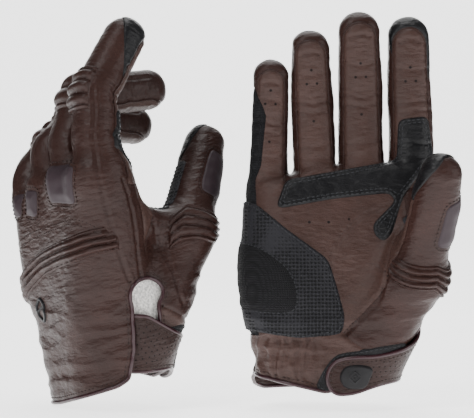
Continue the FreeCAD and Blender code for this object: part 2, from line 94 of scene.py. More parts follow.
# Fingers: place across, height of the root hinge, lean, first section, the rest, radii.
FINGERS = {
    "index": {"across": 49, "height": 141, "lean": -2, "base": 25, "end": 50.5,
              "radius": 13.2, "tip": 11.8},
    "middle": {"across": 19.5, "height": 142, "lean": -1.5, "base": 27, "end": 51,
               "radius": 13.4, "tip": 12},
    "ring": {"across": -8, "height": 140, "lean": -3, "base": 25, "end": 44.5,
             "radius": 12.6, "tip": 11.4},
    "little": {"across": -35, "height": 133, "lean": 1.5, "base": 20, "end": 39,
               "radius": 11.2, "tip": 10},
}
BETWEEN = (34.2, 5.2, -22.4)   # where one finger's skin ends and the next one's begins
CROTCHES = (131, 131, 126)     # how far down the fingers are apart
FINGER_GAP = 0.8               # half the narrowest gap between two fingers

THUMB = {"root": 46, "base": 42, "end": 36, "radii": (18.5, 14.5, 12.9, 11.4)}
THUMB_ZONE = (6, 20)           # bending stretch beyond the thumb's ribbed joint
THUMB_TOP_ZONE = (-6.5, 6.5)   # the same round its upper joint
THUMB_CUT = 27                 # where the thumb's lower skin meets its upper skin
THUMB_REACH = 24               # patches on the thumb stay within this of its axis

WEB_START = np.array([44.0, -8.0, 97.0])   # the web runs from here to the thumb's ribbed joint
WEB_RADIUS = 8.5

# How each glove stands: mirrored or not, its place, tilt and turn, and its thumb.
GLOVES = {
    "left": {"mirror": True, "place": 0, "tilt": -13, "turn": 121,
             "thumb_at": (26, -26, 40), "thumb_turns": (10, 35, -80)},
    "right": {"mirror": False, "place": 127.4, "tilt": 0, "turn": 0,
              "thumb_at": (26, -12, 30), "thumb_turns": (32, 22, -68)},
}

HEEL_AT, HEEL_RADII = (-25, -11, 50), (22, 20, 40)   # the swell at the heel of the hand
CREST, CREST_PALM = 130.5, 126   # height of the hand's end below the fingers, and of the palm's
KNUCKLE_AT = (7, 119)            # depth and height of the knuckles' swells

# Cuff: how much one degree round the wrist measures, the hem's height round it, the keyhole
# (place across its depth, height, half width, half height) and the slit below it.
WRIST_ROUND = 0.72
HEM_TRIM = 7                   # the lining ends this far up
LINING_TOP = 92
LINING_DEPTH = 2.3
HEM = np.array([(-180, 5), (-170, 8), (-150, 6), (-90, -1.4), (-60, 1.5), (-35, 8.3), (-18, 13),
                (-6, 10), (4, 5), (20, 1), (60, -1), (100, -2.6), (150, -2.6), (170, 1),
                (180, 5)], float)
KEYHOLE = (-11.5, 50, 10.6, 8)
SLIT = np.array([(0, 7), (9.4, 4.6), (20, 1.3), (39.7, -0.7), (50, -3)], float)
SLIT_PALM = -17
KNIT_EDGE = np.array([(30, -41), (104, -42.2), (121.5, -42.7), (130, -39.5), (148, -37.8),
                      (160, -36.6), (166, -38.7), (178, -44.8)], float)

# Outlines across and up the hand.
GRIP = [(-31, 106.5), (-25.5, 121.5), (39.6, 133), (40.5, 156.7), (58, 159), (61.7, 134.7),
        (46, 116), (43.2, 112.4), (36, 90), (30.9, 85), (25.6, 89.5), (24.7, 95.7), (38, 109),
        (34.4, 113.6), (1, 110), (-28, 104.7)]
SLIDER = [(-62, 112), (-43, 108), (-25, 93), (-0.8, 75.5), (4.4, 58.7), (8.8, 42), (7, 32),
          (-16.7, 30), (-41.4, 33), (-62, 34)]
SLIDER_PAD = [(-62, 88), (-40, 84), (-24, 72), (-18, 60), (-18, 47), (-24, 43), (-44, 44),
              (-62, 46)]
WINDOWS = [[(16.5, 134), (52.6, 129.5), (48.2, 108.1), (19, 112.6)],
           [(-12.7, 124.2), (1, 122.2), (-2.6, 106.7), (-17, 109)],
           [(-34, 123), (-23, 123), (-24, 109), (-36, 110)]]
CHEVRON = [(-52, 58), (-40, 65), (-28.9, 70.6), (-15.8, 75.4), (2.2, 80.2), (23.8, 82.6),
           (41.2, 84), (49.4, 85.3), (56, 85)]
BACK_ROWS = [[(-40, 93), (-13.4, 98.8), (14.2, 99.6), (42.9, 100.6), (51.1, 97.9),
              (55.2, 91.1), (55.8, 86)],
             [(-40, 89), (-14.6, 94.6), (14.2, 97), (41.8, 98.2), (50.1, 94.8), (54.6, 88.5)]]
LOOP = [(-9, 1), (-4, 12), (3, 20.8), (25, 25), (45, 27.8), (45, 4), (20, -1), (4, -3)]
BADGE = [(4.4, 8), (8, 14.5), (18, 15.5), (25.6, 13), (20.5, 0.6), (8, 1)]
BADGE_MARK = np.array([(14, 4.5), (17.5, 8), (14, 11.5), (10.5, 8)], float)
BADGE_MIDDLE = (14, 8)
EMBLEM = [(-13, 60), (-8, 56), (-8, 50), (-13, 46), (-18, 50), (-18, 56)]
EMBLEM_BAR = [(-17, 51.6), (-9, 54.4), (-9, 56.4), (-17, 53.6)]

# Outline of the strap on the unrolled wrist: degrees round from the thumb side, and height.
STRAP = [(-89, 7), (-86, 13), (-78, 17.5), (-66, 19.5), (-45, 21), (-30, 25), (-20, 31),
         (-10, 38), (0, 39.5), (11, 39.5), (11, 8), (0, 6), (-15, 5), (-30, 4.5), (-45, 2),
         (-60, -2), (-78, -3), (-86, 1)]
HOOK = [(-60, 3), (-58, 14), (-40, 17), (-25, 20), (-25, 9), (-40, 5)]   # round and up

# Sewn lines on the hand, as points near the surface.
SEAMS = {
    "index_back": [(60.1, 6.1, 165.7), (61, 5.7, 148.6), (62.9, 10.2, 120.7),
                   (60, 8.2, 101.8), (54.8, 4.6, 79), (49, -1.4, 58.6)],
    "index_side": [(62.4, -4, 116), (59.4, -7.5, 102), (54, -9, 80.5), (47.6, -9.5, 59)],
    "thumb_ball": [(50.7, -18, 106.2), (46.6, -25, 88.5), (40.7, -30, 72), (32.5, -34, 54.3),
                   (20, -33, 42), (8.8, -31, 33)],
    "heart": [(36, -24, 108), (20, -25, 102), (9.7, -26, 92), (1.2, -27, 79.6),
              (0, -27, 70)],
}
# How far beside each seam its rows of stitches run.
SEAM_ROWS = {"thumb_side": (-1.4, 1.4), "thumb_ball": (-1.4, 1.4), "heart": (-1.3, 1.3),
             "index_back": (-1.3,), "index_side": (-1.3,)}
TUCK_ROWS = (1.1,)
THUMB_SEAM = [(60, 18, 6), (76, 18, 9.3), (87, 18, 15.1), (107, 18, 22),
              (133, 18, 30.3), (144, 18, 36), (158, 16, 44)]   # angle, radius and height
VENTS = [(-11.8, 96.8), (-0.6, 96.8), (11.2, 98.5)]

# The thumb's ribs, as angle round it and the heights between which they lie, then outlines of
# its window and mesh patch as angle from their middle and height.
THUMB_RIBS = np.array([(-85, 3, 12), (-60, 0, 14), (-20, 0, 15), (25, 1, 16), (50, -6, 13),
                       (90, -10, 12), (120, -14, 11), (148, -20, -6)], float)
THUMB_WINDOW = [(-38, 27), (-34, 54), (40, 57), (48, 50), (52, 29), (44, 24)]
THUMB_WINDOW_TURN = 50
THUMB_MESH = [(-26, 10), (-26, 46), (24, 46), (24, 10)]
THUMB_MESH_TURN = 180

LINE_STEP = 0.8        # spacing of the points along a sewn line
EDGE_SINK = 0.35       # how deep a sewn-on piece's edge is pressed into what it lies on
WIDE_STITCH = {"length": 1.5, "gap": 1.0}
FLOAT_ERROR = 1e-9

# The parts that the skin is divided into, in the order of their numbers.
REGIONS = ["hand", *[finger + end for finger in FINGERS for end in ("", "_end")],
           "thumb", "thumb_end"]
LOW_THUMB, HIGH_THUMB = REGIONS.index("thumb"), REGIONS.index("thumb_end")
FINGER_NODES = {REGIONS.index(finger): (f"{finger}_base", f"{finger}_gussets")
                for finger in FINGERS}
FINGER_NODES.update({REGIONS.index(f"{finger}_end"): (f"{finger}_tip",) for finger in FINGERS})

# ---------------------------------------------------------------- frames and smooth steps


def rotation(axis, degrees):
    """Rotation matrix about X, Y or Z."""
    angle = math.radians(degrees)
    c, s = math.cos(angle), math.sin(angle)
    if axis == "X":
        return np.array([[1, 0, 0], [0, c, -s], [0, s, c]])
    if axis == "Y":
        return np.array([[c, 0, s], [0, 1, 0], [-s, 0, c]])
    return np.array([[c, -s, 0], [s, c, 0], [0, 0, 1]])


class Place:
    """A position and a rotation that points can be moved into and out of."""

    def __init__(self, at=(0, 0, 0), turn=None):
        self.at = np.array(at, float)
        self.turn = np.eye(3) if turn is None else turn

    def __matmul__(self, other):
        return Place(self.at + self.turn @ other.at, self.turn @ other.turn)

    def out(self, points):
        return np.asarray(points, float) @ self.turn.T + self.at

    def into(self, points):
        return (np.asarray(points, float) - self.at) @ self.turn


def step(x):
    """Smooth step from 0 to 1."""
    x = np.clip(x, 0, 1)
    return x * x * (3 - 2 * x)


def unit(vectors):
    """The vectors with a length of 1."""
    lengths = np.linalg.norm(vectors, axis=-1)
    return vectors / np.maximum(lengths, FLOAT_ERROR)[..., None]


def smooth_min(a, b, width):
    blend = np.clip(0.5 + 0.5 * (b - a) / width, 0, 1)
    return b * (1 - blend) + a * blend - width * blend * (1 - blend)


def smooth_max(a, b, width):
    return -smooth_min(-a, -b, width)


def curve_through(knots, values, at):
    """A smooth curve through values at knots (cubic with estimated slopes)."""
    knots, values = np.asarray(knots, float), np.asarray(values, float)
    slopes = np.gradient(values, knots)
    at = np.clip(at, knots[0], knots[-1])
    k = np.clip(np.searchsorted(knots, at) - 1, 0, len(knots) - 2)
    gap = knots[k + 1] - knots[k]
    u = (at - knots[k]) / gap
    return ((2 * u**3 - 3 * u**2 + 1) * values[k] + (u**3 - 2 * u**2 + u) * gap * slopes[k]
            + (3 * u**2 - 2 * u**3) * values[k + 1] + (u**3 - u**2) * gap * slopes[k + 1])


def crest(x, height):
    """The end of the hand, lower towards the little finger."""
    return height - 8 * step((-6 - x) / 22)


def finger_place(finger):
    """Frame on a straight finger's axis at its root hinge."""
    size = FINGERS[finger]
    return Place((size["across"], 0, size["height"]), rotation("Y", size["lean"]))


class Glove:
    """One glove's pose: where its thumb stands, how its fingers bend, where it is placed."""

    def __init__(self, name):
        self.name = name
        self.spec = GLOVES[name]
        self.mirror = self.spec["mirror"]
        spread, forward, roll = self.spec["thumb_turns"]
        low, high = [JOINTS[f"{name}_thumb_{j}"]["range_deg"][1]
                     for j in ("root", "upper_joint")]
        turns = rotation("Y", spread) @ rotation("X", forward) @ rotation("Z", roll)
        self.thumb_root = Place(self.spec["thumb_at"], turns)
        self.thumb_low = (self.thumb_root @ Place((0, 0, THUMB["root"]))
                          @ Place(turn=rotation("X", low)))
        self.thumb_high = (self.thumb_low @ Place((0, 0, THUMB["base"]))
                           @ Place(turn=rotation("X", high)))
        self.stand = Place((self.spec["place"], 0, 0),
                           rotation("Y", self.spec["tilt"]) @ rotation("Z", self.spec["turn"]))
        self.bends = {}
        for finger in FINGERS:
            root, middle = [-JOINTS[f"{name}_{finger}_{j}"]["range_deg"][0]
                            for j in ("root", "middle_joint")]
            self.bends[finger] = (root, middle)

    def on_thumb(self, points, margin=8.0):
        """Height along the thumb beyond its ribbed joint, or minus infinity off the thumb."""
        low, high = self.thumb_low.into(points), self.thumb_high.into(points)
        near_low = np.hypot(low[:, 0], low[:, 1]) < THUMB["radii"][1] + margin
        near_high = np.hypot(high[:, 0], high[:, 1]) < THUMB["radii"][2] + margin
        upper = near_high & (high[:, 2] > -12)
        height = np.where(upper, high[:, 2] + THUMB["base"], low[:, 2])
        return np.where((near_low | upper) & (low[:, 2] > 0), height, -np.inf)

    def pose(self, points, normals):
        """Bend straight fingers, mirror for the left hand and set in the frame, in metres."""
        points, normals = points.copy(), normals.copy()
        on_thumb = self.on_thumb(points) > -np.inf
        owner = finger_of(points)
        for number, finger in enumerate(FINGERS):
            chosen = (owner == number) & ~on_thumb
            if not chosen.any():
                continue
            place = finger_place(finger)
            local, facing = place.into(points[chosen]), normals[chosen] @ place.turn
            root, middle = self.bends[finger]
            base = FINGERS[finger]["base"]
            for at, zone, angle in ((base, MIDDLE_ZONE, middle), (0, ROOT_ZONE, root)):
                if at == base:
                    height = local[:, 2].copy()
                share = step((height - at + zone) / (2 * zone)) * math.radians(angle)
                c, s = np.cos(share), np.sin(share)
                y, z = local[:, 1] + HINGE_DEPTH, local[:, 2] - at
                local[:, 1] = y * c - z * s - HINGE_DEPTH
                local[:, 2] = y * s + z * c + at
                y, z = facing[:, 1].copy(), facing[:, 2].copy()
                facing[:, 1] = y * c - z * s
                facing[:, 2] = y * s + z * c
            points[chosen], normals[chosen] = place.out(local), facing @ place.turn.T
        if self.mirror:
            points[:, 0] *= -1
            normals[:, 0] *= -1
        return self.stand.out(points) * TO_METRES, normals @ self.stand.turn.T

    def regions(self, points):
        """The number in REGIONS of the part that each point belongs to."""
        region = np.zeros(len(points), int)
        owner = finger_of(points)
        for number, finger in enumerate(FINGERS):
            height = finger_place(finger).into(points)[:, 2]
            mine = owner == number
            region[mine & (height > -ROOT_ZONE - 1.5)] = 1 + 2 * number
            region[mine & (height > finger_cut(finger))] = 2 + 2 * number
        thumb = self.on_thumb(points)
        region[thumb > -np.inf] = 0
        region[thumb > THUMB_ZONE[0] - 1] = LOW_THUMB
        region[thumb > THUMB_CUT] = HIGH_THUMB
        return region


def finger_of(points):
    """Number of the finger whose stretch across the hand each point lies in."""
    return np.searchsorted(-np.array(BETWEEN), -points[:, 0])


def finger_cut(finger):
    """Height on a finger where its lower skin meets its upper skin, clear of both bends."""
    return (ROOT_ZONE + FINGERS[finger]["base"] - MIDDLE_ZONE) / 2


# ---------------------------------------------------------------- the skin, grown from a field


def hand_field(x, y, z):
    """Distance-like field of the hand without its digits."""
    heights = z.ravel()
    centre, wide, deep = [curve_through(SECTIONS[:, 0], SECTIONS[:, k], heights)
                          for k in (1, 2, 3)]
    flat = np.maximum(np.abs(x - centre) - (wide - deep), 0)
    field = np.sqrt(flat**2 + y**2) - deep
    heel = sum(((axis - at) / radius)**2
               for axis, at, radius in zip((x, y, z), HEEL_AT, HEEL_RADII))
    field = smooth_min(field, (np.sqrt(heel) - 1) * 20, 8)
    field = smooth_max(field, z - crest(x, CREST), 9)
    for size in FINGERS.values():
        knuckle = np.sqrt((x - size["across"])**2 + (y - KNUCKLE_AT[0])**2
                          + ((z - KNUCKLE_AT[1]) * 0.75)**2)
        field = smooth_min(field, knuckle - 13.5 * size["radius"] / 13, 5)
    return field


def digit_field(points, stations):
    """Field of a digit: slightly squared tubes whose radius follows its stations."""
    heights = np.array([s[0] for s in stations], float)
    radii = np.array([s[1] for s in stations], float)
    along = points[..., 2]
    radius = curve_through(heights, radii, along)
    past = np.maximum(along - heights[-1], 0)
    before = np.maximum(heights[0] - along, 0)
    power = 2.35
    round_ = (np.abs(points[..., 0])**power + np.abs(points[..., 1])**power)**(1 / power)
    return np.sqrt(round_**2 + past**2 + before**2) - radius


def grow_field(glove, spacing):
    """Sample one glove's field on a grid; returns its origin and values."""
    low = np.array([-62.0, -104.0, -14.0])
    high = np.array([108.0, 42.0, 228.0])
    axes = [np.arange(a, b, spacing) for a, b in zip(low, high)]
    x, y, z = axes[0][:, None, None], axes[1][None, :, None], axes[2][None, None, :]
    field = hand_field(x, y, z).astype(np.float32)

    def add(place, stations, blend, bounds):
        cells = [slice(*np.searchsorted(axis, span)) for axis, span in zip(axes, bounds)]
        grid = np.stack(np.meshgrid(*[a[c] for a, c in zip(axes, cells)], indexing="ij"), -1)
        digit = digit_field((grid - place.at) @ place.turn, stations)
        field[tuple(cells)] = smooth_min(field[tuple(cells)], digit, blend)

    for finger, size in FINGERS.items():
        joint = (size["radius"] + size["tip"]) / 2
        top = size["base"] + size["end"] - size["tip"]
        stations = [(-30, size["radius"] - 1), (0, size["radius"]),
                    (size["base"] * 0.5, size["radius"] * 0.985),
                    (size["base"], joint + 0.5), (size["base"] + 14, joint - 0.1),
                    (top - 10, size["tip"] + 0.1), (top, size["tip"])]
        across = size["across"]
        add(finger_place(finger), stations, 3.5,
            ((across - 21, across + 21), (-22, 22), (98, 228)))
    root, low_r, high_r, tip = THUMB["radii"]
    add(glove.thumb_root, [(-14, root - 2), (0, root), (THUMB["root"], low_r)], 16,
        ((-20, 108), (-104, 42), (-5, 150)))
    top = THUMB["end"] - tip
    stations = [(-THUMB["base"], low_r), (-THUMB["base"] / 2, low_r - 0.6), (0, high_r),
                (top * 0.5, high_r - 0.3), (top, tip)]
    add(glove.thumb_high, stations, 13, ((0, 108), (-104, 20), (30, 175)))
    for middle, crotch in zip(BETWEEN, CROTCHES):
        clear = np.sqrt((x - middle)**2 + np.maximum(crotch - z, 0)**2
                        + np.maximum(-26 - y, 0)**2)
        field = smooth_max(field, (FINGER_GAP - clear).astype(np.float32), 1.5)
    web_end = glove.thumb_low.out((0, 0, 2))
    way = web_end - WEB_START
    share = (x - WEB_START[0]) * way[0] + (y - WEB_START[1]) * way[1]
    share = np.clip((share + (z - WEB_START[2]) * way[2]) / (way @ way), 0, 1)
    web = np.sqrt((x - WEB_START[0] - share * way[0])**2 + (y - WEB_START[1] - share * way[1])**2
                  + (z - WEB_START[2] - share * way[2])**2) - WEB_RADIUS
    field = smooth_min(field, web.astype(np.float32), 9)
    return low, field


def grow_skin(glove, spacing):
    """Mesh one glove's field as triangles with outward normals."""
    low, field = grow_field(glove, spacing)
    grid = openvdb.FloatGrid(background=10.0)
    grid.copyFromArray(field)
    points, _, quads = grid.convertToPolygons(isovalue=0.0, adaptivity=0.0)
    points = np.asarray(points, float) * spacing + low
    quads = np.asarray(quads, int)
    triangles = np.concatenate([quads[:, [0, 1, 2]], quads[:, [0, 2, 3]]])
    skin = Cloth(points, triangles)
    if signed_volume(skin) < 0:
        skin.triangles = skin.triangles[:, ::-1]
    skin.relax(2)
    skin.set_normals()
    return skin


def signed_volume(cloth):
    a, b, c = [cloth.points[cloth.triangles[:, k]] for k in range(3)]
    return float((a * np.cross(b, c)).sum())


class Cloth:
    """A triangle mesh whose points carry a normal and named numbers, cut as one thing."""

    def __init__(self, points, triangles, normals=None, extra=None):
        self.points = points
        self.triangles = triangles
        self.normals = normals
        self.extra = extra or {}

    def set_normals(self):
        """Vertex normals weighted by area."""
        a, b, c = [self.points[self.triangles[:, k]] for k in range(3)]
        faces = np.cross(b - a, c - a)
        normals = np.zeros_like(self.points)
        for k in range(3):
            for axis in range(3):
                normals[:, axis] += np.bincount(self.triangles[:, k], faces[:, axis],
                                                len(self.points))
        self.normals = unit(normals)

    def relax(self, rounds):
        """Even the mesh out a little, pulling every point towards its neighbours."""
        edges = np.concatenate([self.triangles[:, [0, 1]], self.triangles[:, [1, 2]],
                                self.triangles[:, [2, 0]]])
        count = np.bincount(edges[:, 0], minlength=len(self.points)).astype(float)
        for _ in range(rounds):
            for axis in range(3):
                total = np.bincount(edges[:, 0], self.points[edges[:, 1], axis],
                                    len(self.points))
                mean = total / np.maximum(count, 1)
                self.points[:, axis] += 0.5 * (mean - self.points[:, axis])

    def pick(self, faces):
        """The cloth of some of its triangles."""
        used, back = np.unique(self.triangles[faces], return_inverse=True)
        extra = {name: values[used] for name, values in self.extra.items()}
        return Cloth(self.points[used], back.reshape(-1, 3), self.normals[used], extra)

    def inside(self, field):
        """The part where a field is negative, cut exactly along its zero line."""
        names = list(self.extra)
        table = np.column_stack([self.points, self.normals, field]
                                + [self.extra[name] for name in names])
        negative = field < 0
        count = negative[self.triangles].sum(axis=1)
        pieces, new_rows = [self.triangles[count == 3]], {}
        for wanted, lone in ((1, True), (2, False)):
            faces = self.triangles[count == wanted]
            if not len(faces):
                continue
            odd = np.argmax(negative[faces] == lone, axis=1)
            rows = np.arange(len(faces))
            a, b, c = [faces[rows, (odd + k) % 3] for k in range(3)]
            ends = []
            for other in (b, c):
                keys = np.column_stack([np.minimum(a, other), np.maximum(a, other)])
                ends.append([new_rows.setdefault((p, q), len(new_rows))
                             for p, q in keys.tolist()])
            ab, ac = [np.array(e) + len(self.points) for e in ends]
            if lone:
                pieces.append(np.column_stack([a, ab, ac]))
            else:
                pieces += [np.column_stack([ab, b, c]), np.column_stack([ab, c, ac])]
        if new_rows:
            pairs = np.array(list(new_rows))
            fa, fb = field[pairs[:, 0]], field[pairs[:, 1]]
            share = (fa / (fa - fb))[:, None]
            table = np.vstack([table, table[pairs[:, 0]] * (1 - share)
                               + table[pairs[:, 1]] * share])
        whole = Cloth(table[:, :3], np.concatenate(pieces), table[:, 3:6],
                      {name: table[:, 7 + k] for k, name in enumerate(names)})
        whole.extra["inset"] = -table[:, 6]
        whole.normals = unit(whole.normals)
        return whole.pick(np.arange(len(whole.triangles)))

    def refined(self):
        """Every triangle split into four."""
        t = self.triangles
        edges = np.sort(np.concatenate([t[:, [0, 1]], t[:, [1, 2]], t[:, [2, 0]]]), axis=1)
        pairs, back = np.unique(edges, axis=0, return_inverse=True)
        ab, bc, ca = back.reshape(3, -1) + len(self.points)
        triangles = np.concatenate([np.column_stack(c) for c in (
            (t[:, 0], ab, ca), (ab, t[:, 1], bc), (ca, bc, t[:, 2]), (ab, bc, ca))])

        def halfway(values):
            return np.concatenate([values, (values[pairs[:, 0]] + values[pairs[:, 1]]) / 2])

        extra = {name: halfway(values) for name, values in self.extra.items()}
        return Cloth(halfway(self.points), triangles, unit(halfway(self.normals)), extra)

    def lifted(self, heights):
        """The same cloth raised along its normals, with fresh normals."""
        raised = Cloth(self.points + self.normals * np.asarray(heights)[..., None],
                       self.triangles, self.normals, self.extra)
        raised.set_normals()
        return raised

    def contours(self, values, level):
        """Lines on the cloth along which some values cross a level."""
        above = values > level
        count = above[self.triangles].sum(axis=1)
        links = {}
        for corners in self.triangles[(count == 1) | (count == 2)].tolist():
            ends = [(min(a, b), max(a, b)) for a, b in zip(corners, corners[1:] + corners[:1])
                    if above[a] != above[b]]
            links.setdefault(ends[0], []).append(ends[1])
            links.setdefault(ends[1], []).append(ends[0])
        starts = [key for key, others in links.items() if len(others) == 1] + list(links)
        lines = []
        for start in starts:
            if start not in links:
                continue
            chain, following = [start], links.pop(start)
            last_links = set(following)
            while True:
                onward = [key for key in following if key in links]
                if not onward:
                    break
                chain.append(onward[0])
                following = links.pop(onward[0])
            closed = len(chain) > 3 and chain[-1] in last_links
            a, b = np.array(chain).T
            share = ((level - values[a]) / (values[b] - values[a]))[:, None]
            if len(chain) > 3:
                lines.append(Line(self.points[a] * (1 - share) + self.points[b] * share,
                                  self.normals[a] * (1 - share) + self.normals[b] * share,
                                  closed))
        return lines


# ---------------------------------------------------------------- outlines, lines and stitches


def rounded(corners, radius=3.0, closed=True):
    """A polyline through corners, with each corner turned into a small arc."""
    corners = np.asarray(corners, float)
    line = []
    for number, corner in enumerate(corners):
        if not closed and number in (0, len(corners) - 1):
            line.append(corner)
            continue
        ends = []
        for other in (corners[number - 1], corners[(number + 1) % len(corners)]):
            way = other - corner
            length = np.linalg.norm(way)
            ends.append(corner + way / length * min(radius, 0.45 * length))
        for t in np.linspace(0, 1, 6):
            line.append(ends[0] * (1 - t)**2 + corner * 2 * t * (1 - t) + ends[1] * t**2)
    return np.array(line)


def outline_field(flat, line, margin=8.0):
    """Distance to a closed outline, negative inside; points far outside share one value."""
    field = np.full(len(flat), margin)
    near = np.flatnonzero(((flat > line.min(0) - margin)
                           & (flat < line.max(0) + margin)).all(axis=1))
    points = flat[near]
    nearest, inside = np.full(len(points), np.inf), np.zeros(len(points), bool)
    for a, b in zip(line, np.roll(line, -1, axis=0)):
        ab = b - a
        share = np.clip((points - a) @ ab / max(ab @ ab, FLOAT_ERROR), 0, 1)
        nearest = np.minimum(nearest, np.linalg.norm(points - a - share[:, None] * ab, axis=1))
        spans = (a[1] > points[:, 1]) != (b[1] > points[:, 1])
        inside ^= spans & (points[:, 0] < a[0] + (points[:, 1] - a[1]) * ab[0]
                           / (ab[1] or FLOAT_ERROR))
    field[near] = np.where(inside, -nearest, nearest)
    return field


def line_field(flat, line):
    """Signed distance to an open line (positive on its left) and distance along it."""
    nearest, signed, along = (np.full(len(flat), np.inf) for _ in range(3))
    start = 0.0
    for a, b in zip(line[:-1], line[1:]):
        ab = b - a
        length = np.linalg.norm(ab)
        share = np.clip((flat - a) @ ab / length**2, 0, 1)
        away = flat - a - share[:, None] * ab
        gap = np.linalg.norm(away, axis=1)
        closer = gap < nearest
        nearest = np.where(closer, gap, nearest)
        side = np.sign(ab[0] * away[:, 1] - ab[1] * away[:, 0])
        signed = np.where(closer, gap * side, signed)
        along = np.where(closer, start + share * length, along)
        start += length
    return signed, along


def wrapped(degrees):
    """Angles brought into -180 to 180."""
    return (degrees + 180) % 360 - 180


class Line:
    """Points on the surface with the surface's normals, open or closed."""

    def __init__(self, points, normals, closed=False):
        self.points, self.normals, self.closed = points, normals, closed

    def spaced(self, spacing, rounds=4):
        """The line smoothed and resampled evenly."""
        points, normals = self.points.copy(), self.normals.copy()
        for _ in range(rounds):
            for table in (points, normals):
                if self.closed:
                    table += 0.25 * (np.roll(table, 1, 0) + np.roll(table, -1, 0) - 2 * table)
                else:
                    table[1:-1] += 0.25 * (table[:-2] + table[2:] - 2 * table[1:-1])
        if self.closed:
            points, normals = np.vstack([points, points[:1]]), np.vstack([normals, normals[:1]])
        lengths = np.linalg.norm(np.diff(points, axis=0), axis=1)
        along = np.concatenate([[0], np.cumsum(lengths)])
        count = max(int(round(along[-1] / spacing)), 2)
        at = np.linspace(0, along[-1], count + 1)
        if self.closed:
            at = at[:-1]
        points = np.column_stack([np.interp(at, along, points[:, k]) for k in range(3)])
        normals = np.column_stack([np.interp(at, along, normals[:, k]) for k in range(3)])
        return Line(points, unit(normals), self.closed)

    def frames(self):
        """Unit tangents and the directions across the line within the surface."""
        if self.closed:
            tangents = np.roll(self.points, -1, 0) - np.roll(self.points, 1, 0)
        else:
            tangents = np.gradient(self.points, axis=0)
        tangents = unit(tangents)
        return tangents, unit(np.cross(tangents, self.normals))

    def moved(self, sideways=0.0, up=0.0):
        across = self.frames()[1]
        return Line(self.points + across * sideways + self.normals * up, self.normals,
                    self.closed)

    def where(self, chosen):
        """The longest unbroken stretch of the line where a test of its points holds."""
        keep = chosen(self.points)
        if keep.all():
            return self
        order = np.arange(len(keep))
        if self.closed:
            order = np.roll(order, -int(np.argmin(keep)))
        edges = np.flatnonzero(np.diff(np.concatenate([[0], keep[order].astype(int), [0]])))
        if not len(edges):
            return None
        starts, ends = edges[::2], edges[1::2]
        best = int(np.argmax(ends - starts))
        rows = order[starts[best]:ends[best]]
        return Line(self.points[rows], self.normals[rows]) if len(rows) > 3 else None


def facing_out(cloth):
    """Wind every triangle so that it faces the way its normals point."""
    a, b, c = [cloth.points[cloth.triangles[:, k]] for k in range(3)]
    away = (np.cross(b - a, c - a) * cloth.normals[cloth.triangles].sum(axis=1)).sum(axis=1)
    cloth.triangles[away < 0] = cloth.triangles[away < 0][:, ::-1]
    return cloth


def joined(cloths):
    """Several cloths as one."""
    cloths = [c for c in cloths if c is not None and len(c.triangles)]
    if not cloths:
        return None
    starts = np.cumsum([0] + [len(c.points) for c in cloths[:-1]])
    return Cloth(np.vstack([c.points for c in cloths]),
                 np.vstack([c.triangles + s for c, s in zip(cloths, starts)]),
                 np.vstack([c.normals for c in cloths]))


def grid_faces(rows, columns, rows_closed):
    """Triangles of a grid of points that is closed around its columns."""
    last = rows if rows_closed else rows - 1
    i, j = np.meshgrid(np.arange(last), np.arange(columns), indexing="ij")
    here, right = i * columns + j, i * columns + (j + 1) % columns
    up, up_right = ((i + 1) % rows) * columns + j, ((i + 1) % rows) * columns + (j + 1) % columns
    return np.concatenate([np.stack([here, up, up_right], -1).reshape(-1, 3),
                           np.stack([here, up_right, right], -1).reshape(-1, 3)])


def tube(line, radius, lift=0.0, spacing=0.9, flat=1.0, sides=8):
    """A round cord along a line; flat below 1 presses it against the surface."""
    line = line.spaced(spacing)
    _, across = line.frames()
    angles = np.linspace(0, 2 * math.pi, sides, endpoint=False)
    count = len(line.points)
    radii = np.full(count, float(radius))
    if not line.closed:
        ends = np.minimum(np.arange(count), np.arange(count)[::-1]) * spacing
        radii *= np.sqrt(np.clip(0.15 + ends / (2 * radius), 0, 1))
    ring = (np.cos(angles)[None, :, None] * line.normals[:, None] * flat
            + np.sin(angles)[None, :, None] * across[:, None])
    centre = line.points + line.normals * lift
    points = centre[:, None] + ring * radii[:, None, None]
    normals = unit(ring)
    return facing_out(Cloth(points.reshape(-1, 3), grid_faces(count, sides, line.closed),
                            normals.reshape(-1, 3)))


def stitches(line, length=1.9, gap=0.95, radius=0.3, lift=0.15):
    """A row of separate stitches along a line."""
    line = line.spaced(length + gap)
    tangents, across = line.frames()
    sides = 6
    angles = np.linspace(0, 2 * math.pi, sides, endpoint=False)
    shape, facing = [], []
    for along, wide in ((-0.5, 0.25), (-0.36, 0.85), (0, 1.0), (0.36, 0.85), (0.5, 0.25)):
        for angle in angles:
            shape.append((along * length, math.cos(angle) * wide * radius,
                          math.sin(angle) * wide * radius - abs(along) * 0.35))
            facing.append((along, math.cos(angle), math.sin(angle)))
    shape, facing = np.array(shape), np.array(facing)
    basis = np.stack([tangents, across, line.normals], axis=1)
    points = np.einsum("mk,nkj->nmj", shape, basis) + (line.points
                                                      + line.normals * lift)[:, None]
    normals = unit(np.einsum("mk,nkj->nmj", facing, basis))
    faces = grid_faces(5, sides, False)
    offsets = (np.arange(len(line.points)) * len(shape))[:, None, None]
    return facing_out(Cloth(points.reshape(-1, 3), (faces[None] + offsets).reshape(-1, 3),
                            normals.reshape(-1, 3)))


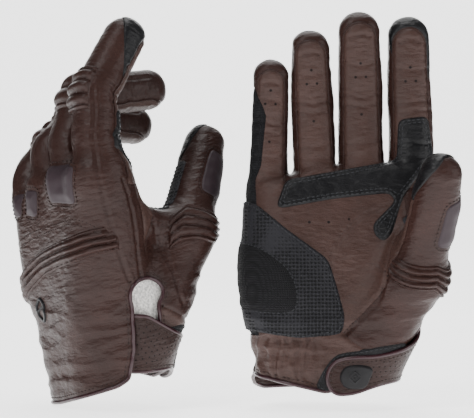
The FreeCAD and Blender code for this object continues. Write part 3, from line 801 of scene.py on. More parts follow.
def discs(points, normals, radius, lift=0.06, sides=8):
    """Small round patches lying on the surface."""
    helper = np.where(np.abs(normals[:, :1]) < 0.8, [[1.0, 0, 0]], [[0, 1.0, 0]])
    u = unit(np.cross(normals, helper))
    v = np.cross(normals, u)
    angles = np.linspace(0, 2 * math.pi, sides, endpoint=False)
    rim = (np.cos(angles)[None, :, None] * u[:, None]
           + np.sin(angles)[None, :, None] * v[:, None])
    centre = points + normals * lift
    table = np.concatenate([centre[:, None], centre[:, None] + rim * radius], axis=1)
    fan = np.array([(0, 1 + k, 1 + (k + 1) % sides) for k in range(sides)])
    offsets = (np.arange(len(points)) * (sides + 1))[:, None, None]
    return facing_out(Cloth(table.reshape(-1, 3), (fan[None] + offsets).reshape(-1, 3),
                            np.repeat(normals, sides + 1, axis=0)))


class Surface:
    """A skin that points can be dropped onto."""

    def __init__(self, skin):
        self.skin = skin
        self.tree = BVHTree.FromPolygons(skin.points.tolist(), skin.triangles.tolist())

    def snap(self, points, closed=False):
        """A line through the nearest places on the skin."""
        found = [self.tree.find_nearest(Vector(p)) for p in points]
        at = np.array([f[0] for f in found])
        return Line(at, self.normals_at([f[2] for f in found]), closed)

    def normals_at(self, faces):
        return unit(self.skin.normals[self.skin.triangles[faces]].mean(axis=1))

    def follow(self, corners, closed=False, radius=3.0):
        """A smooth line through corners, dropped onto the skin."""
        line = rounded(corners, radius, closed)
        dense = Line(line, line, closed).spaced(LINE_STEP, 0)
        return self.snap(dense.points, closed).spaced(LINE_STEP)

    def shoot(self, starts, ways):
        """Where rays first meet the skin, with its normals there."""
        points, faces = [], []
        for start, way in zip(starts, ways):
            place, _, face, _ = self.tree.ray_cast(Vector(start), Vector(way))
            if place is not None:
                points.append(place)
                faces.append(face)
        return np.array(points), self.normals_at(faces)


# ---------------------------------------------------------------- fields of the pieces


def across_up(points):
    return points[:, [0, 2]]


def wrist_flat(points):
    """Unrolled wrist: distance round from the thumb side and height."""
    turn = np.degrees(np.arctan2(points[:, 1], points[:, 0] + 3))
    return np.column_stack([turn * WRIST_ROUND, points[:, 2]])


def cuff_field(points):
    """Negative where the leather is: above the hem, outside the slit and the keyhole."""
    flat = wrist_flat(points)
    hem = np.interp(flat[:, 0] / WRIST_ROUND, HEM[:, 0], HEM[:, 1]) - points[:, 2]
    x, y, z = points.T
    hole = (np.sqrt(((y - KEYHOLE[0]) / KEYHOLE[2])**2 + ((z - KEYHOLE[1]) / KEYHOLE[3])**2)
            - 1) * KEYHOLE[3]
    edge = np.interp(z, SLIT[:, 0], SLIT[:, 1])
    slit = np.maximum(np.maximum(y - edge, SLIT_PALM - y), z - KEYHOLE[1])
    opening = np.where(x > 20, smooth_min(hole, slit, 3), 20)
    return np.maximum(hem, -opening)


def finger_local(points):
    """Each point seen from its own finger: across, towards the back, up, and its radius."""
    owner = finger_of(points)
    local, radius, length = np.zeros_like(points), np.zeros(len(points)), np.zeros(len(points))
    for number, (finger, size) in enumerate(FINGERS.items()):
        mine = owner == number
        local[mine] = finger_place(finger).into(points[mine])
        share = np.clip(local[mine, 2] / (size["base"] + size["end"]), 0, 1)
        radius[mine] = size["radius"] + (size["tip"] - size["radius"]) * share
        length[mine] = size["base"] + size["end"]
    return local, radius, length, owner


def strip_field(points):
    """The palm side strip of each finger, rounded off below the fingertip."""
    local, radius, length, _ = finger_local(points)
    wide, top = radius * 0.84, length - 5
    over = np.maximum(local[:, 2] - (top - wide), 0)
    across = np.sqrt(local[:, 0]**2 + over**2) - wide
    return np.maximum(across, local[:, 1] + 1.5)


def outer_thumb_field(glove, points):
    """The outer leather of the thumb, down to where it is sewn to the hand."""
    root, low = glove.thumb_root.into(points), glove.thumb_low.into(points)
    height = np.where(low[:, 2] > 0, low[:, 2] + THUMB["root"], root[:, 2])
    local = np.where((low[:, 2] > 0)[:, None], low, root)
    turn = np.degrees(np.arctan2(local[:, 1], local[:, 0]))
    first = np.interp(height, (0, 30, 50, 90), (-62, -62, -77, -93))
    last = np.interp(height, (8, 15, 22, 30, 36, 70), (150, 170, 190, 195, 195, 195))
    middle, half = (first + last) / 2, (last - first) / 2
    radial = np.hypot(local[:, 0], local[:, 1])
    side = (np.abs(wrapped(turn - middle)) - half) * np.radians(1) * np.minimum(radial, 20)
    return np.maximum(side, np.maximum(radial - 34, -root[:, 2]))


def palm_field(glove, points):
    """The palm leather: palm, finger strips and the inner side of the thumb."""
    x, y, z = points.T
    on_thumb = glove.on_thumb(points, 10) > -np.inf
    hand = np.maximum(y + np.interp(x, (-30, 30, 44, 50), (3, 8, 15, 17)),
                      z - crest(x, CREST_PALM))
    fingers = np.where(z > 112, strip_field(points), 8)
    whole = np.where(on_thumb, y + 8, smooth_min(hand, fingers, 3))
    return np.maximum(whole, -outer_thumb_field(glove, points))


def knit_field(points):
    """The knit side of the hand, up the outer side of the little finger."""
    x, y, z = points.T
    edge = np.interp(z, KNIT_EDGE[:, 0], KNIT_EDGE[:, 1])
    return np.maximum(x - edge, np.maximum(31 - z, z - 180 + np.abs(y) * 0.6))


def thumb_flat(glove, points):
    """Unrolled thumb beyond its ribbed joint: angle in degrees, height, and radius."""
    low, high = glove.thumb_low.into(points), glove.thumb_high.into(points)
    upper = high[:, 2] > 0
    local = np.where(upper[:, None], high, low)
    height = np.where(upper, high[:, 2] + THUMB["base"], low[:, 2])
    turn = np.degrees(np.arctan2(local[:, 1], local[:, 0]))
    return turn, height, np.hypot(local[:, 0], local[:, 1])


def on_thumb_patch(glove, points, centre, corners):
    """Field of a patch on the thumb, from corners given as angle and height."""
    turn, height, radial = thumb_flat(glove, points)
    around = wrapped(turn - centre) * math.radians(1) * THUMB["radii"][2]
    line = rounded([(math.radians(a) * THUMB["radii"][2], h) for a, h in corners], 4)
    field = outline_field(np.column_stack([around, height]), line)
    return np.where(radial < THUMB_REACH, field, 8)


def touch_tip_field(glove, points):
    """The thumb's touch tip, an oval over the pad that widens over the top."""
    turn, height, radial = thumb_flat(glove, points)
    half = 45 + (height - 50) * 2.2
    side = (np.abs(wrapped(turn + 135)) - half) * math.radians(1) * 12
    return np.where(radial < THUMB_REACH, np.maximum(side, 48 - height), 8)


def index_cap_field(points):
    """Black cap over the index fingertip and down its thumb side."""
    local, _, length, owner = finger_local(points)
    slope = length - 15 - 0.75 * local[:, 0] + 2.0 * local[:, 1] - local[:, 2]
    on_tip = (owner == 0) & (local[:, 2] > length - 40)
    return np.where(on_tip, np.maximum(slope, -strip_field(points)), 8)


def rib_profile(distance, pitch, height):
    """Soft padded ribs side by side."""
    return height * np.abs(np.cos(math.pi * distance / pitch))**0.6


# ---------------------------------------------------------------- materials


class Wire:
    """A shader socket that takes part in sums like a number, a vector or a colour."""

    def __init__(self, tree, socket):
        self.tree, self.socket = tree, socket

    def __add__(self, other):
        return combine(self.tree, "ADD", self, other)

    def __sub__(self, other):
        return combine(self.tree, "SUBTRACT", self, other)

    def __rsub__(self, other):
        return combine(self.tree, "SUBTRACT", other, self)

    def __mul__(self, other):
        return combine(self.tree, "MULTIPLY", self, other)

    def __truediv__(self, other):
        return combine(self.tree, "DIVIDE", self, other)

    def __rtruediv__(self, other):
        return combine(self.tree, "DIVIDE", other, self)

    __radd__ = __add__
    __rmul__ = __mul__

    def between(self, low, high):
        """0 below low, 1 above high and straight between them."""
        return combine(self.tree, "ADD", (self - low) / (high - low), 0.0, clamp=True)


def feed(tree, value, socket):
    """Set a socket's value, or link a wire to it."""
    if isinstance(value, Wire):
        tree.links.new(value.socket, socket)
    elif hasattr(value, "__len__") and socket.type == "RGBA" and len(value) == 3:
        socket.default_value = (*value, 1)
    else:
        socket.default_value = value


def combine(tree, operation, *terms, clamp=False):
    """Math on numbers, Vector Math where any term is a vector or a colour."""
    wide = any(t.socket.type in ("VECTOR", "RGBA") if isinstance(t, Wire)
               else hasattr(t, "__len__") for t in terms)
    node = tree.nodes.new("ShaderNodeVectorMath" if wide else "ShaderNodeMath")
    node.operation = operation
    if clamp:
        node.use_clamp = True
    for socket, term in zip(node.inputs, terms):
        if wide and not isinstance(term, Wire) and not hasattr(term, "__len__"):
            term = (term, term, term)
        feed(tree, term, socket)
    return Wire(tree, node.outputs[0])


def mix(tree, factor, first, second):
    """From one colour to another as the factor goes from 0 to 1."""
    node = tree.nodes.new("ShaderNodeMix")
    node.data_type = "RGBA"
    colours = [s for s in node.inputs if s.type == "RGBA"]
    feed(tree, factor, node.inputs[0])
    feed(tree, first, colours[0])
    feed(tree, second, colours[1])
    return Wire(tree, [s for s in node.outputs if s.type == "RGBA"][0])


class Finish:
    """A material being put together from textures laid out on the pattern."""

    def __init__(self, name):
        self.material = bpy.data.materials.new(name)
        self.material.use_nodes = True
        self.tree = self.material.node_tree
        self.shader = self.tree.nodes["Principled BSDF"]
        place = self.node("ShaderNodeAttribute", {"attribute_name": "pattern"}, {})
        self.place = Wire(self.tree, place.outputs["Vector"])

    def node(self, kind, settings, inputs):
        """Add a node with these settings, and with these values or wires in its sockets."""
        node = self.tree.nodes.new(kind)
        for name, value in settings.items():
            setattr(node, name, value)
        for name, value in inputs.items():
            feed(self.tree, value, node.inputs[name])
        return node

    def noise(self, scale, detail=3.0, stretch=(1, 1, 1)):
        """Cloudy texture, from 0 to 1, with blotches about 1 / scale mm across."""
        node = self.node("ShaderNodeTexNoise", {}, {"Vector": self.place * stretch,
                                                    "Scale": scale, "Detail": detail})
        return Wire(self.tree, node.outputs[0])

    def cells(self, scale, feature="F1", randomness=1.0, stretch=(1, 1, 1)):
        """Distance from the middle, or from the edge, of irregular cells."""
        node = self.node("ShaderNodeTexVoronoi", {"feature": feature},
                         {"Vector": self.place * stretch, "Scale": scale,
                          "Randomness": randomness})
        return Wire(self.tree, node.outputs["Distance"])

    def axes(self):
        node = self.node("ShaderNodeSeparateXYZ", {}, {"Vector": self.place})
        return [Wire(self.tree, output) for output in node.outputs]

    def bump(self, height, depth, below=None):
        """Surface relief from a height of 0 to 1 that stands for depth mm."""
        inputs = {"Height": height, "Distance": depth * TO_METRES, "Strength": 1.0}
        if below is not None:
            inputs["Normal"] = below
        node = self.node("ShaderNodeBump", {}, inputs)
        return Wire(self.tree, node.outputs["Normal"])

    def done(self, **sockets):
        """Fill the main shader's sockets; names use underscores for spaces."""
        for name, value in sockets.items():
            feed(self.tree, value, self.shader.inputs[name.replace("_", " ")])
        return self.material


def leather(name, colour, gloss, grain=1.5, relief=0.1):
    """Grained leather, mottled, with fine creases and painted shade in the valleys between the
    pebbles.
    """
    finish = Finish(name)
    base = np.array(colour)
    clouds = finish.noise(0.045, 4)
    fine = finish.noise(0.9, 3)
    pebbles = finish.cells(grain)
    creases = finish.noise(0.16, 5, (1, 1, 2.6))
    pebble_edge = finish.cells(grain, "DISTANCE_TO_EDGE").between(0.0, 0.14)
    tone = mix(finish.tree, clouds.between(0.32, 0.7), tuple(base * 0.78), tuple(base * 1.2))
    # Darker along the pebbles' edges, where the grain's valleys lie: painted shade.
    tone = mix(finish.tree, pebble_edge, tuple(base * 0.62), tone)
    height = (1 - pebbles.between(0.0, 0.9)) * 0.55 + fine * 0.25
    folded = finish.bump(creases, 0.9)
    return finish.done(Base_Color=tone, Roughness=gloss + clouds * 0.16 - fine * 0.1,
                       Normal=finish.bump(height, relief, folded), Specular_IOR_Level=0.2)


def knit(name, colour, pitch):
    """Ribbed stretch knit of fine crossing yarns, with painted shade between the yarns and a
    painted highlight on their tops.
    """
    finish = Finish(name)
    x, y, z = finish.axes()
    wave = math.pi / pitch
    rows = combine(finish.tree, "ABSOLUTE", combine(finish.tree, "SINE", z * wave))
    yarns = combine(finish.tree, "ABSOLUTE",
                    combine(finish.tree, "SINE", (x + y) * wave + rows * 0.9))
    fuzz = finish.noise(2.2, 3)
    height = rows * yarns
    base = np.array(colour)
    # Colour follows the yarns' height: painted shade in the gaps, painted highlight on the tops.
    tone = mix(finish.tree, height, tuple(base * 0.35), tuple(base * 1.7))
    return finish.done(Base_Color=tone, Roughness=0.82 + fuzz * 0.15,
                       Normal=finish.bump(height + fuzz * 0.25, 0.35), Specular_IOR_Level=0.25)


def open_mesh(name, colour, pitch):
    """Thick spacer mesh with staggered holes, painted shade in the holes and painted highlight
    on the ridges.
    """
    finish = Finish(name)
    holes = finish.cells(1 / pitch, randomness=0.12, stretch=(1, 0.2, 1))
    ridge = holes.between(0.18, 0.5)
    fuzz = finish.noise(1.6, 3)
    base = np.array(colour)
    # Colour follows the ridges' height: painted shade in the holes, painted highlight on the
    # ridges.
    tone = mix(finish.tree, ridge, tuple(base * 0.15), tuple(base * 1.9))
    return finish.done(Base_Color=tone, Roughness=0.62 + fuzz * 0.2,
                       Normal=finish.bump(ridge + fuzz * 0.15, 0.7), Specular_IOR_Level=0.25)


def fuzz_cloth(name, colour, scale, rough=0.95, depth=0.5):
    """Soft loops or fleece."""
    finish = Finish(name)
    loops = finish.noise(scale, 4)
    base = np.array(colour)
    tone = mix(finish.tree, loops.between(0.3, 0.7), tuple(base * 0.45), tuple(base * 1.3))
    return finish.done(Base_Color=tone, Roughness=rough, Normal=finish.bump(loops, depth))


def smooth_stuff(name, colour, gloss, depth=0.05, coat=0.0):
    """Moulded rubber, thread or shiny binding with a faint unevenness."""
    finish = Finish(name)
    clouds, fine = finish.noise(0.25, 3), finish.noise(2.5, 3)
    base = np.array(colour)
    tone = mix(finish.tree, clouds, tuple(base * 0.8), tuple(base * 1.2))
    return finish.done(Base_Color=tone, Roughness=gloss + fine * 0.15,
                       Normal=finish.bump(fine, depth), Coat_Weight=coat,
                       Specular_IOR_Level=0.3)


def build_finishes(looks):
    back, palm = tuple(looks.back_colour), tuple(looks.palm_colour)
    dark = np.array(back)
    return {
        "brown_leather": leather("brown_leather", back, 0.36),
        "palm_leather": leather("palm_leather", palm, 0.4, 1.7, 0.14),
        "strap_leather": leather("strap_leather", tuple(dark * 0.8), 0.4),
        "black_leather": leather("black_leather", (0.008, 0.0078, 0.0088), 0.34, 1.1, 0.14),
        "black_knit": knit("black_knit", (0.007, 0.007, 0.0085), 1.0),
        "black_mesh": open_mesh("black_mesh", (0.008, 0.0078, 0.0095), 2.1),
        "pad_mesh": knit("pad_mesh", (0.006, 0.0057, 0.0068), 1.3),
        "guard_rubber": smooth_stuff("guard_rubber", (0.024, 0.014, 0.018), 0.5, 0.03),
        "pull_rubber": smooth_stuff("pull_rubber", (0.0055, 0.005, 0.006), 0.55, 0.03),
        "maroon_binding": smooth_stuff("maroon_binding", (0.026, 0.007, 0.010), 0.26, 0.06,
                                       0.2),
        "brown_thread": smooth_stuff("brown_thread", tuple(dark * 0.6), 0.5, 0.1),
        "black_thread": smooth_stuff("black_thread", (0.02, 0.021, 0.024), 0.5, 0.1),
        "black_loop": fuzz_cloth("black_loop", (0.007, 0.0068, 0.008), 1.4),
        "lining_fabric": fuzz_cloth("lining_fabric", (0.72, 0.70, 0.67), 0.8, 0.9, 0.15),
        # Near-black discs laid over the vent and strap holes: painted shade, the holes are not
        # cut.
        "vent_dark": smooth_stuff("vent_dark", (0.006, 0.004, 0.004), 0.9),
    }


# ---------------------------------------------------------------- cutting and sewing one glove


class Pattern:
    """One glove's skin with its folds, and the pieces made from it."""

    def __init__(self, name, looks):
        self.glove = Glove(name)
        self.name = name
        self.looks = looks
        smooth = grow_skin(self.glove, looks.spacing * 1000)
        self.smooth = Surface(smooth)
        self.seams = {key: self.smooth.follow(corners, radius=12)
                      for key, corners in SEAMS.items()}
        self.seams.update(self.finger_seams())
        turn, radius, height = np.array(THUMB_SEAM, float).T
        corners = self.glove.thumb_root.out(np.column_stack(
            [radius * np.cos(np.radians(turn)), radius * np.sin(np.radians(turn)), height]))
        self.seams["thumb_side"] = self.smooth.follow(corners, radius=10)
        folds = self.folds(smooth.points, smooth.normals)
        skin = smooth.lifted(folds * looks.wear - self.grooves(smooth.points))
        self.skin = skin
        self.surface = Surface(skin)
        self.seams = {key: self.surface.snap(line.points).spaced(LINE_STEP)
                      for key, line in self.seams.items()}
        self.cut = skin.inside(cuff_field(skin.points))
        self.threads = {"brown_thread": [], "black_thread": []}
        self.bindings = []

    # -- relief

    def finger_seams(self):
        """Long seams on both sides of each finger's back, and the tuck at each fingertip."""
        lines = {}
        for finger, size in FINGERS.items():
            place, length = finger_place(finger), size["base"] + size["end"]
            for side in (-1, 1):
                if finger == "index" and side > 0:
                    continue
                heights = np.linspace(-4, length - size["tip"] - 2, 40)
                radius = np.interp(heights, (0, length), (size["radius"], size["tip"]))
                local = np.column_stack([side * radius * 0.86, np.full(40, 5.5), heights])
                line = self.smooth.snap(place.out(local))
                lines[f"{finger}_back_{side}"] = line.spaced(LINE_STEP)
            top = length - 13.5
            wide = size["tip"] * 0.5
            local = np.column_stack([np.linspace(-wide, wide, 20), np.full(20, -12.0),
                                     top + 1.2 * np.cos(np.linspace(-1.5, 1.5, 20))])
            lines[f"{finger}_tuck"] = self.smooth.snap(place.out(local)).spaced(LINE_STEP)
        return lines

    def grooves(self, points):
        """How deep the leather is drawn in along each seam."""
        from_line = np.full(len(points), 9.0)
        tree = KDTree(len(points))
        for index, point in enumerate(points.tolist()):
            tree.insert(point, index)
        tree.balance()
        for line in self.seams.values():
            for point in line.points:
                for _, index, distance in tree.find_range(Vector(point), 3.2):
                    from_line[index] = min(from_line[index], distance)
        return 0.75 * np.exp(-(from_line / 1.1)**2) - 0.22 * np.exp(-((from_line - 2.6) / 1)**2)

    def folds(self, points, normals):
        """Folds and creases of worn leather, as heights above the smooth skin."""

        def cloud(scale, offset):
            return np.array([noise.noise(p) for p in (points * scale + offset).tolist()])

        x, y, z = points.T
        broad = cloud((0.03, 0.03, 0.03), 5.0) * 1.1
        slanted = cloud((0.02, 0.035, 0.1), 19.0)
        ridge = 1 - np.abs(slanted * 2.6)
        wrist = step((66 - z) / 26) * step((z + 4) / 10)
        height = broad * 0.6 + wrist * (np.clip(ridge, -0.6, 1) * 1.15 - 0.3)
        pucker = step((-2 - x) / 10) * step((33 - z) / 4) * step((z - 3) / 8) * step(-y / 8)
        height += pucker * (np.sin(x * 1.05 + cloud((0.1, 0.1, 0.1), 3.0) * 4) * 0.8 - 0.4)
        local, _, _, owner = finger_local(points)
        on_thumb = self.glove.on_thumb(points) > -np.inf
        palm_side = step((-local[:, 1] - 2) / 7) * ~on_thumb
        for number, size in enumerate(FINGERS.values()):
            mine = (owner == number) & (local[:, 2] > -14)
            base, end = size["base"], size["end"]
            wander = cloud((0.09, 0.09, 0.02), 31.0 + number) * 2.4
            for at, depth, width in ((-6, 0.5, 1.6), (1.5, 0.8, 1.3), (base - 4, 0.75, 1.3),
                                     (base + 2, 1.0, 1.3), (base + 6, 0.4, 1.2),
                                     (base + end * 0.42, 0.6, 1.5)):
                gap = (local[:, 2] - at - wander) / width
                height -= mine * palm_side * depth * np.exp(-gap**2)
        height += 0.28 * cloud((0.16, 0.16, 0.22), 47.0)
        low = self.glove.thumb_low.into(points)
        web = np.exp(-(low[:, 2] / 9)**2) * step((normals[:, 0] * -1 + 0.2) / 0.6) * on_thumb
        height -= web * 0.6 * np.abs(np.sin(low[:, 2] * 1.1))
        return height

    # -- cutting

    def panel(self, source, field, thickness=0.9, crown=0.0, fine=1, soft=1.0):
        """A sewn-on piece with rolled edges and a padded middle."""
        near = (field[source.triangles] < 3).any(axis=1)
        if not near.any():
            return None
        source = Cloth(source.points, source.triangles, source.normals, {"field": field})
        piece = source.pick(near)
        for _ in range(fine):
            piece = piece.refined()
        piece = piece.inside(piece.extra["field"])
        inset = piece.extra["inset"]
        height = -EDGE_SINK + (thickness + EDGE_SINK) * np.sqrt(step(inset / soft))
        return piece.lifted(height + crown * step(inset / 6))

    def ribbed(self, source, field, offset, pitch, height):
        """A padded piece with ribs across it."""
        source = Cloth(source.points, source.triangles, source.normals,
                       {"field": field, "offset": offset})
        piece = source.pick((field[source.triangles] < 3).any(axis=1)).refined()
        piece = piece.inside(piece.extra["field"])
        ribs = rib_profile(piece.extra["offset"], pitch, height)
        rise = np.sqrt(step(piece.extra["inset"] / 2))
        return piece.lifted(-EDGE_SINK + (ribs + EDGE_SINK) * rise)

    def on_leather(self, line):
        """The longest stretch of a line that lies on the cut leather, dropped onto it."""
        line = line.where(lambda points: cuff_field(points) < -1.2)
        return None if line is None else self.surface.snap(line.points)

    def edge_lines(self, piece, inset, shortest=6.0):
        """Lines that run round a piece at a distance inside its edge."""
        lines = piece.contours(piece.extra["inset"], inset)
        return [line for line in lines
                if np.linalg.norm(np.diff(line.points, axis=0), axis=1).sum() > shortest]

    def sew(self, piece, insets, thread="brown_thread", **shape):
        """Rows of stitches along a piece's edge."""
        for inset in insets:
            for line in self.edge_lines(piece, inset):
                self.threads[thread].append(stitches(line.spaced(LINE_STEP), **shape))

    def add(self, piece, cloth, material, replaces=(), body=None, padded=None):
        """Split a piece between the moving parts, pose it and put it in the frame."""
        if cloth is None or not len(cloth.triangles):
            raise RuntimeError(f"{self.name} {piece} has no faces")
        centres = cloth.points[cloth.triangles].mean(axis=1)
        region = np.zeros(len(centres), int) if body else self.glove.regions(centres)
        replaces = dict(replaces)
        for number in np.unique(region).tolist():
            part = cloth.pick(region == number)
            if len(part.triangles) < 4:
                continue
            ending = "" if body else f"_{REGIONS[number]}"
            obj = self.make_object(f"{self.name}_{piece}{ending}", part, material)
            self.fasten(obj, number, body)
            nodes = replaces.get(number, ())
            if nodes:
                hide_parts(*[f"{self.name}_{node}" for node in nodes])

    def make_object(self, name, part, material):
        points, normals = self.glove.pose(part.points, part.normals)
        triangles = part.triangles[:, ::-1] if self.glove.mirror else part.triangles
        mesh = bpy.data.meshes.new(name)
        mesh.from_pydata(points.tolist(), [], triangles.tolist())
        mesh.polygons.foreach_set("use_smooth", np.ones(len(triangles), bool))
        attribute = mesh.attributes.new("pattern", "FLOAT_VECTOR", "POINT")
        attribute.data.foreach_set("vector", part.points.astype(np.float32).ravel())
        mesh.normals_split_custom_set_from_vertices(normals.tolist())
        mesh.materials.append(self.looks.finishes[material])
        obj = bpy.data.objects.new(name, mesh)
        bpy.context.collection.objects.link(obj)
        return obj

    def fasten(self, obj, number, body):
        """Make a piece follow its rigid part; a piece on a finger or the thumb is only baked
        where it stands.
        """
        if body or number == 0:
            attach(obj, f"{self.name}_{body or 'hand'}")
            return
        part = REGIONS[number]
        ends = self.thumb_ends(part) if number >= LOW_THUMB else self.finger_ends(part)
        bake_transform(obj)

    def thumb_ends(self, part):
        """Points before and after one of the thumb's joints, in metres."""
        glove = self.glove
        place, zone = ((glove.thumb_low, THUMB_ZONE) if part == "thumb"
                       else (glove.thumb_high, THUMB_TOP_ZONE))
        ends = place.out([(0, 0, z) for z in zone])
        if glove.mirror:
            ends = ends * (-1, 1, 1)
        return glove.stand.out(ends) * TO_METRES

    def finger_ends(self, part):
        """Points before and after a bent finger's joint, on its hinge line, in metres."""
        finger = part.removesuffix("_end")
        at, zone = (0, ROOT_ZONE) if part == finger else (FINGERS[finger]["base"], MIDDLE_ZONE)
        ends = finger_place(finger).out([(0, -HINGE_DEPTH, at - zone),
                                         (0, -HINGE_DEPTH, at + zone)])
        return self.glove.pose(ends, ends)[0]


def make_leather(pattern):
    """Back and palm leather and the knit side, each sewn along its edge."""
    cut, glove = pattern.cut, pattern.glove
    knit_part, palm_part = knit_field(cut.points), palm_field(glove, cut.points)
    far = np.maximum(knit_part, -8)

    def seamed(cloth, field):
        """The part inside a field, drawn in along its edge."""
        piece = Cloth(cloth.points, cloth.triangles, cloth.normals, {"f": field})
        piece = piece.inside(field)
        inset = piece.extra["inset"]
        return piece.lifted(-0.6 * np.exp(-(inset / 0.9)**2)
                            + 0.25 * np.exp(-((inset - 2.6) / 1.2)**2))

    rest = Cloth(cut.points, cut.triangles, cut.normals, {"palm": palm_part})
    rest = rest.inside(-far)
    del rest.extra["inset"]
    knit_piece = seamed(cut, far)
    palm_values = rest.extra["palm"]
    palm_piece = seamed(rest, palm_values)
    back_piece = seamed(rest, -palm_values)
    pattern.add("back_leather", back_piece, "brown_leather",
                {0: ("back_panel", "thumb_panel"),
                 LOW_THUMB: ("thumb_base", "thumb_gussets"),
                 HIGH_THUMB: ("thumb_tip",), **FINGER_NODES})
    pattern.add("palm_leather", palm_piece, "palm_leather", {0: ("palm_panel",)})
    pattern.add("knit_side", knit_piece, "black_knit", {0: ("side_panel",)})
    low = pattern.smooth.skin
    lining = low.inside(HEM_TRIM - low.points[:, 2])
    centres = lining.points[lining.triangles].mean(axis=1)
    lining = lining.pick((centres[:, 2] < LINING_TOP) & (glove.regions(centres) == 0))
    lining = lining.lifted(-LINING_DEPTH)
    lining.triangles = lining.triangles[:, ::-1]
    lining.normals = -lining.normals
    pattern.add("lining", lining, "lining_fabric", {0: ("hand_lining",)}, body="hand")
    for line in palm_piece.contours(palm_piece.extra["inset"], 0.25):
        line = line.spaced(LINE_STEP)
        rim = line.where(lambda p: (p[:, 2] > 116) & (p[:, 1] < 2))
        if rim is not None:
            pattern.bindings.append(("brown", tube(rim, 0.55, 0.1)))


def make_overlays(pattern):
    """Pieces sewn on the palm, back and fingers."""
    skin, glove = pattern.cut, pattern.glove
    points = skin.points
    flat = across_up(points)
    palm_side = points[:, 1] + 2
    off_thumb = np.where(glove.on_thumb(points, 4) > -np.inf, 8, -8)
    grip_field = np.maximum(np.maximum(outline_field(flat, rounded(GRIP, 4)), palm_side),
                            off_thumb)
    grip = pattern.panel(skin, grip_field, 1.0, 0.35)
    pattern.add("grip_patch", grip, "black_leather", {0: ("palm_grip_patch",)})
    pattern.sew(grip, (1.5, 3.1), "black_thread", radius=0.34)
    slide_side = points[:, 1] - 9
    slider_field = np.maximum(outline_field(flat, rounded(SLIDER, 5)), slide_side)
    slider = pattern.panel(skin, slider_field, 1.2, 0.5)
    pattern.add("slider", slider, "black_mesh", {0: ("palm_slider",)})
    pattern.sew(slider, (1.6,), "black_thread", radius=0.36)
    pad_field = np.maximum(outline_field(flat, rounded(SLIDER_PAD, 7)), slide_side)
    pad = pattern.panel(skin, pad_field, 1.7, 1.1, soft=1.6)
    pattern.add("slider_pad", pad, "pad_mesh", padded=0.8)
    pattern.sew(pad, (1.4,), "black_thread", radius=0.36)
    windows, back = [], -points[:, 1] + 3
    for corners in WINDOWS:
        frame_field = outline_field(flat, rounded(corners, 3.5))
        windows.append(pattern.panel(skin, np.maximum(frame_field, back), 0.5, 1.1, soft=0.8))
        border = pattern.panel(skin, np.maximum(frame_field - 2.4, back), 0.25)
        pattern.sew(border, (0.8,), **WIDE_STITCH)
    pattern.add("knuckle_windows", joined(windows), "guard_rubber", {0: ("knuckle_guard",)})
    centre = rounded(CHEVRON, 6, closed=False)
    offset, _ = line_field(flat, centre)
    field = np.maximum(np.maximum(np.abs(offset) - 7.4, np.minimum(back, 8)),
                       np.maximum(points[:, 0] - 57, -44 - points[:, 0]))
    ribs = pattern.ribbed(skin, field, offset, 3.9, 3.0)
    pattern.add("back_ribs", ribs, "brown_leather", {0: ("back_ribs",)}, padded=0.7)
    for corners in BACK_ROWS:
        row = Line(*[rounded([(x, 0, z) for x, z in corners], 8, closed=False)] * 2)
        row = row.spaced(1.5, 0).points + (0, 60, 0)
        at, normals = pattern.surface.shoot(row, [(0, -1, 0)] * len(row))
        pattern.threads["brown_thread"].append(stitches(Line(at, normals), **WIDE_STITCH))


def make_finger_details(pattern):
    """Ribbed flex panels over the middle joints, the index cap, dark discs of painted shade for
    the vents, and finger seams.
    """
    skin = pattern.cut
    local, radius, _, owner = finger_local(skin.points)
    ribs = []
    for number, size in enumerate(FINGERS.values()):
        mine = owner == number
        centre = local[:, 2] - size["base"]
        side = np.abs(local[:, 0]) - radius * 0.84
        field = np.maximum(np.maximum(np.abs(centre) - 9.8, side), 1.5 - local[:, 1])
        ribs.append(pattern.ribbed(skin, np.where(mine, field, 8), centre, 4.9, 2.8))
    pattern.add("finger_ribs", joined(ribs), "brown_leather")
    cap = pattern.panel(skin, index_cap_field(skin.points), 0.5, 0.3)
    pattern.add("index_cap", cap, "black_leather")
    # The vents are not cut: dark discs on the leather are painted shade where the holes would
    # be.
    vents = []
    for finger, size in FINGERS.items():
        place = finger_place(finger)
        for across, up in ((0, size["base"] - 9), (-3, size["base"] + 14),
                           (3, size["base"] + 14), (0, size["base"] + 22)):
            start = place.out([(across, -40, up)])[0]
            vents.append((start, place.turn @ (0, 1, 0)))
    vents += [((x, -60, z), (0, 1, 0)) for x, z in VENTS]
    at, normals = pattern.surface.shoot(*zip(*vents))
    keep = np.abs(at[:, 1]) < 40
    pattern.add("vents", discs(at[keep], normals[keep], 0.8), "vent_dark")
    for key, line in pattern.seams.items():
        for sideways in TUCK_ROWS if key.endswith("tuck") else SEAM_ROWS.get(key, ()):
            pattern.threads["brown_thread"].append(stitches(line.moved(sideways), **WIDE_STITCH))


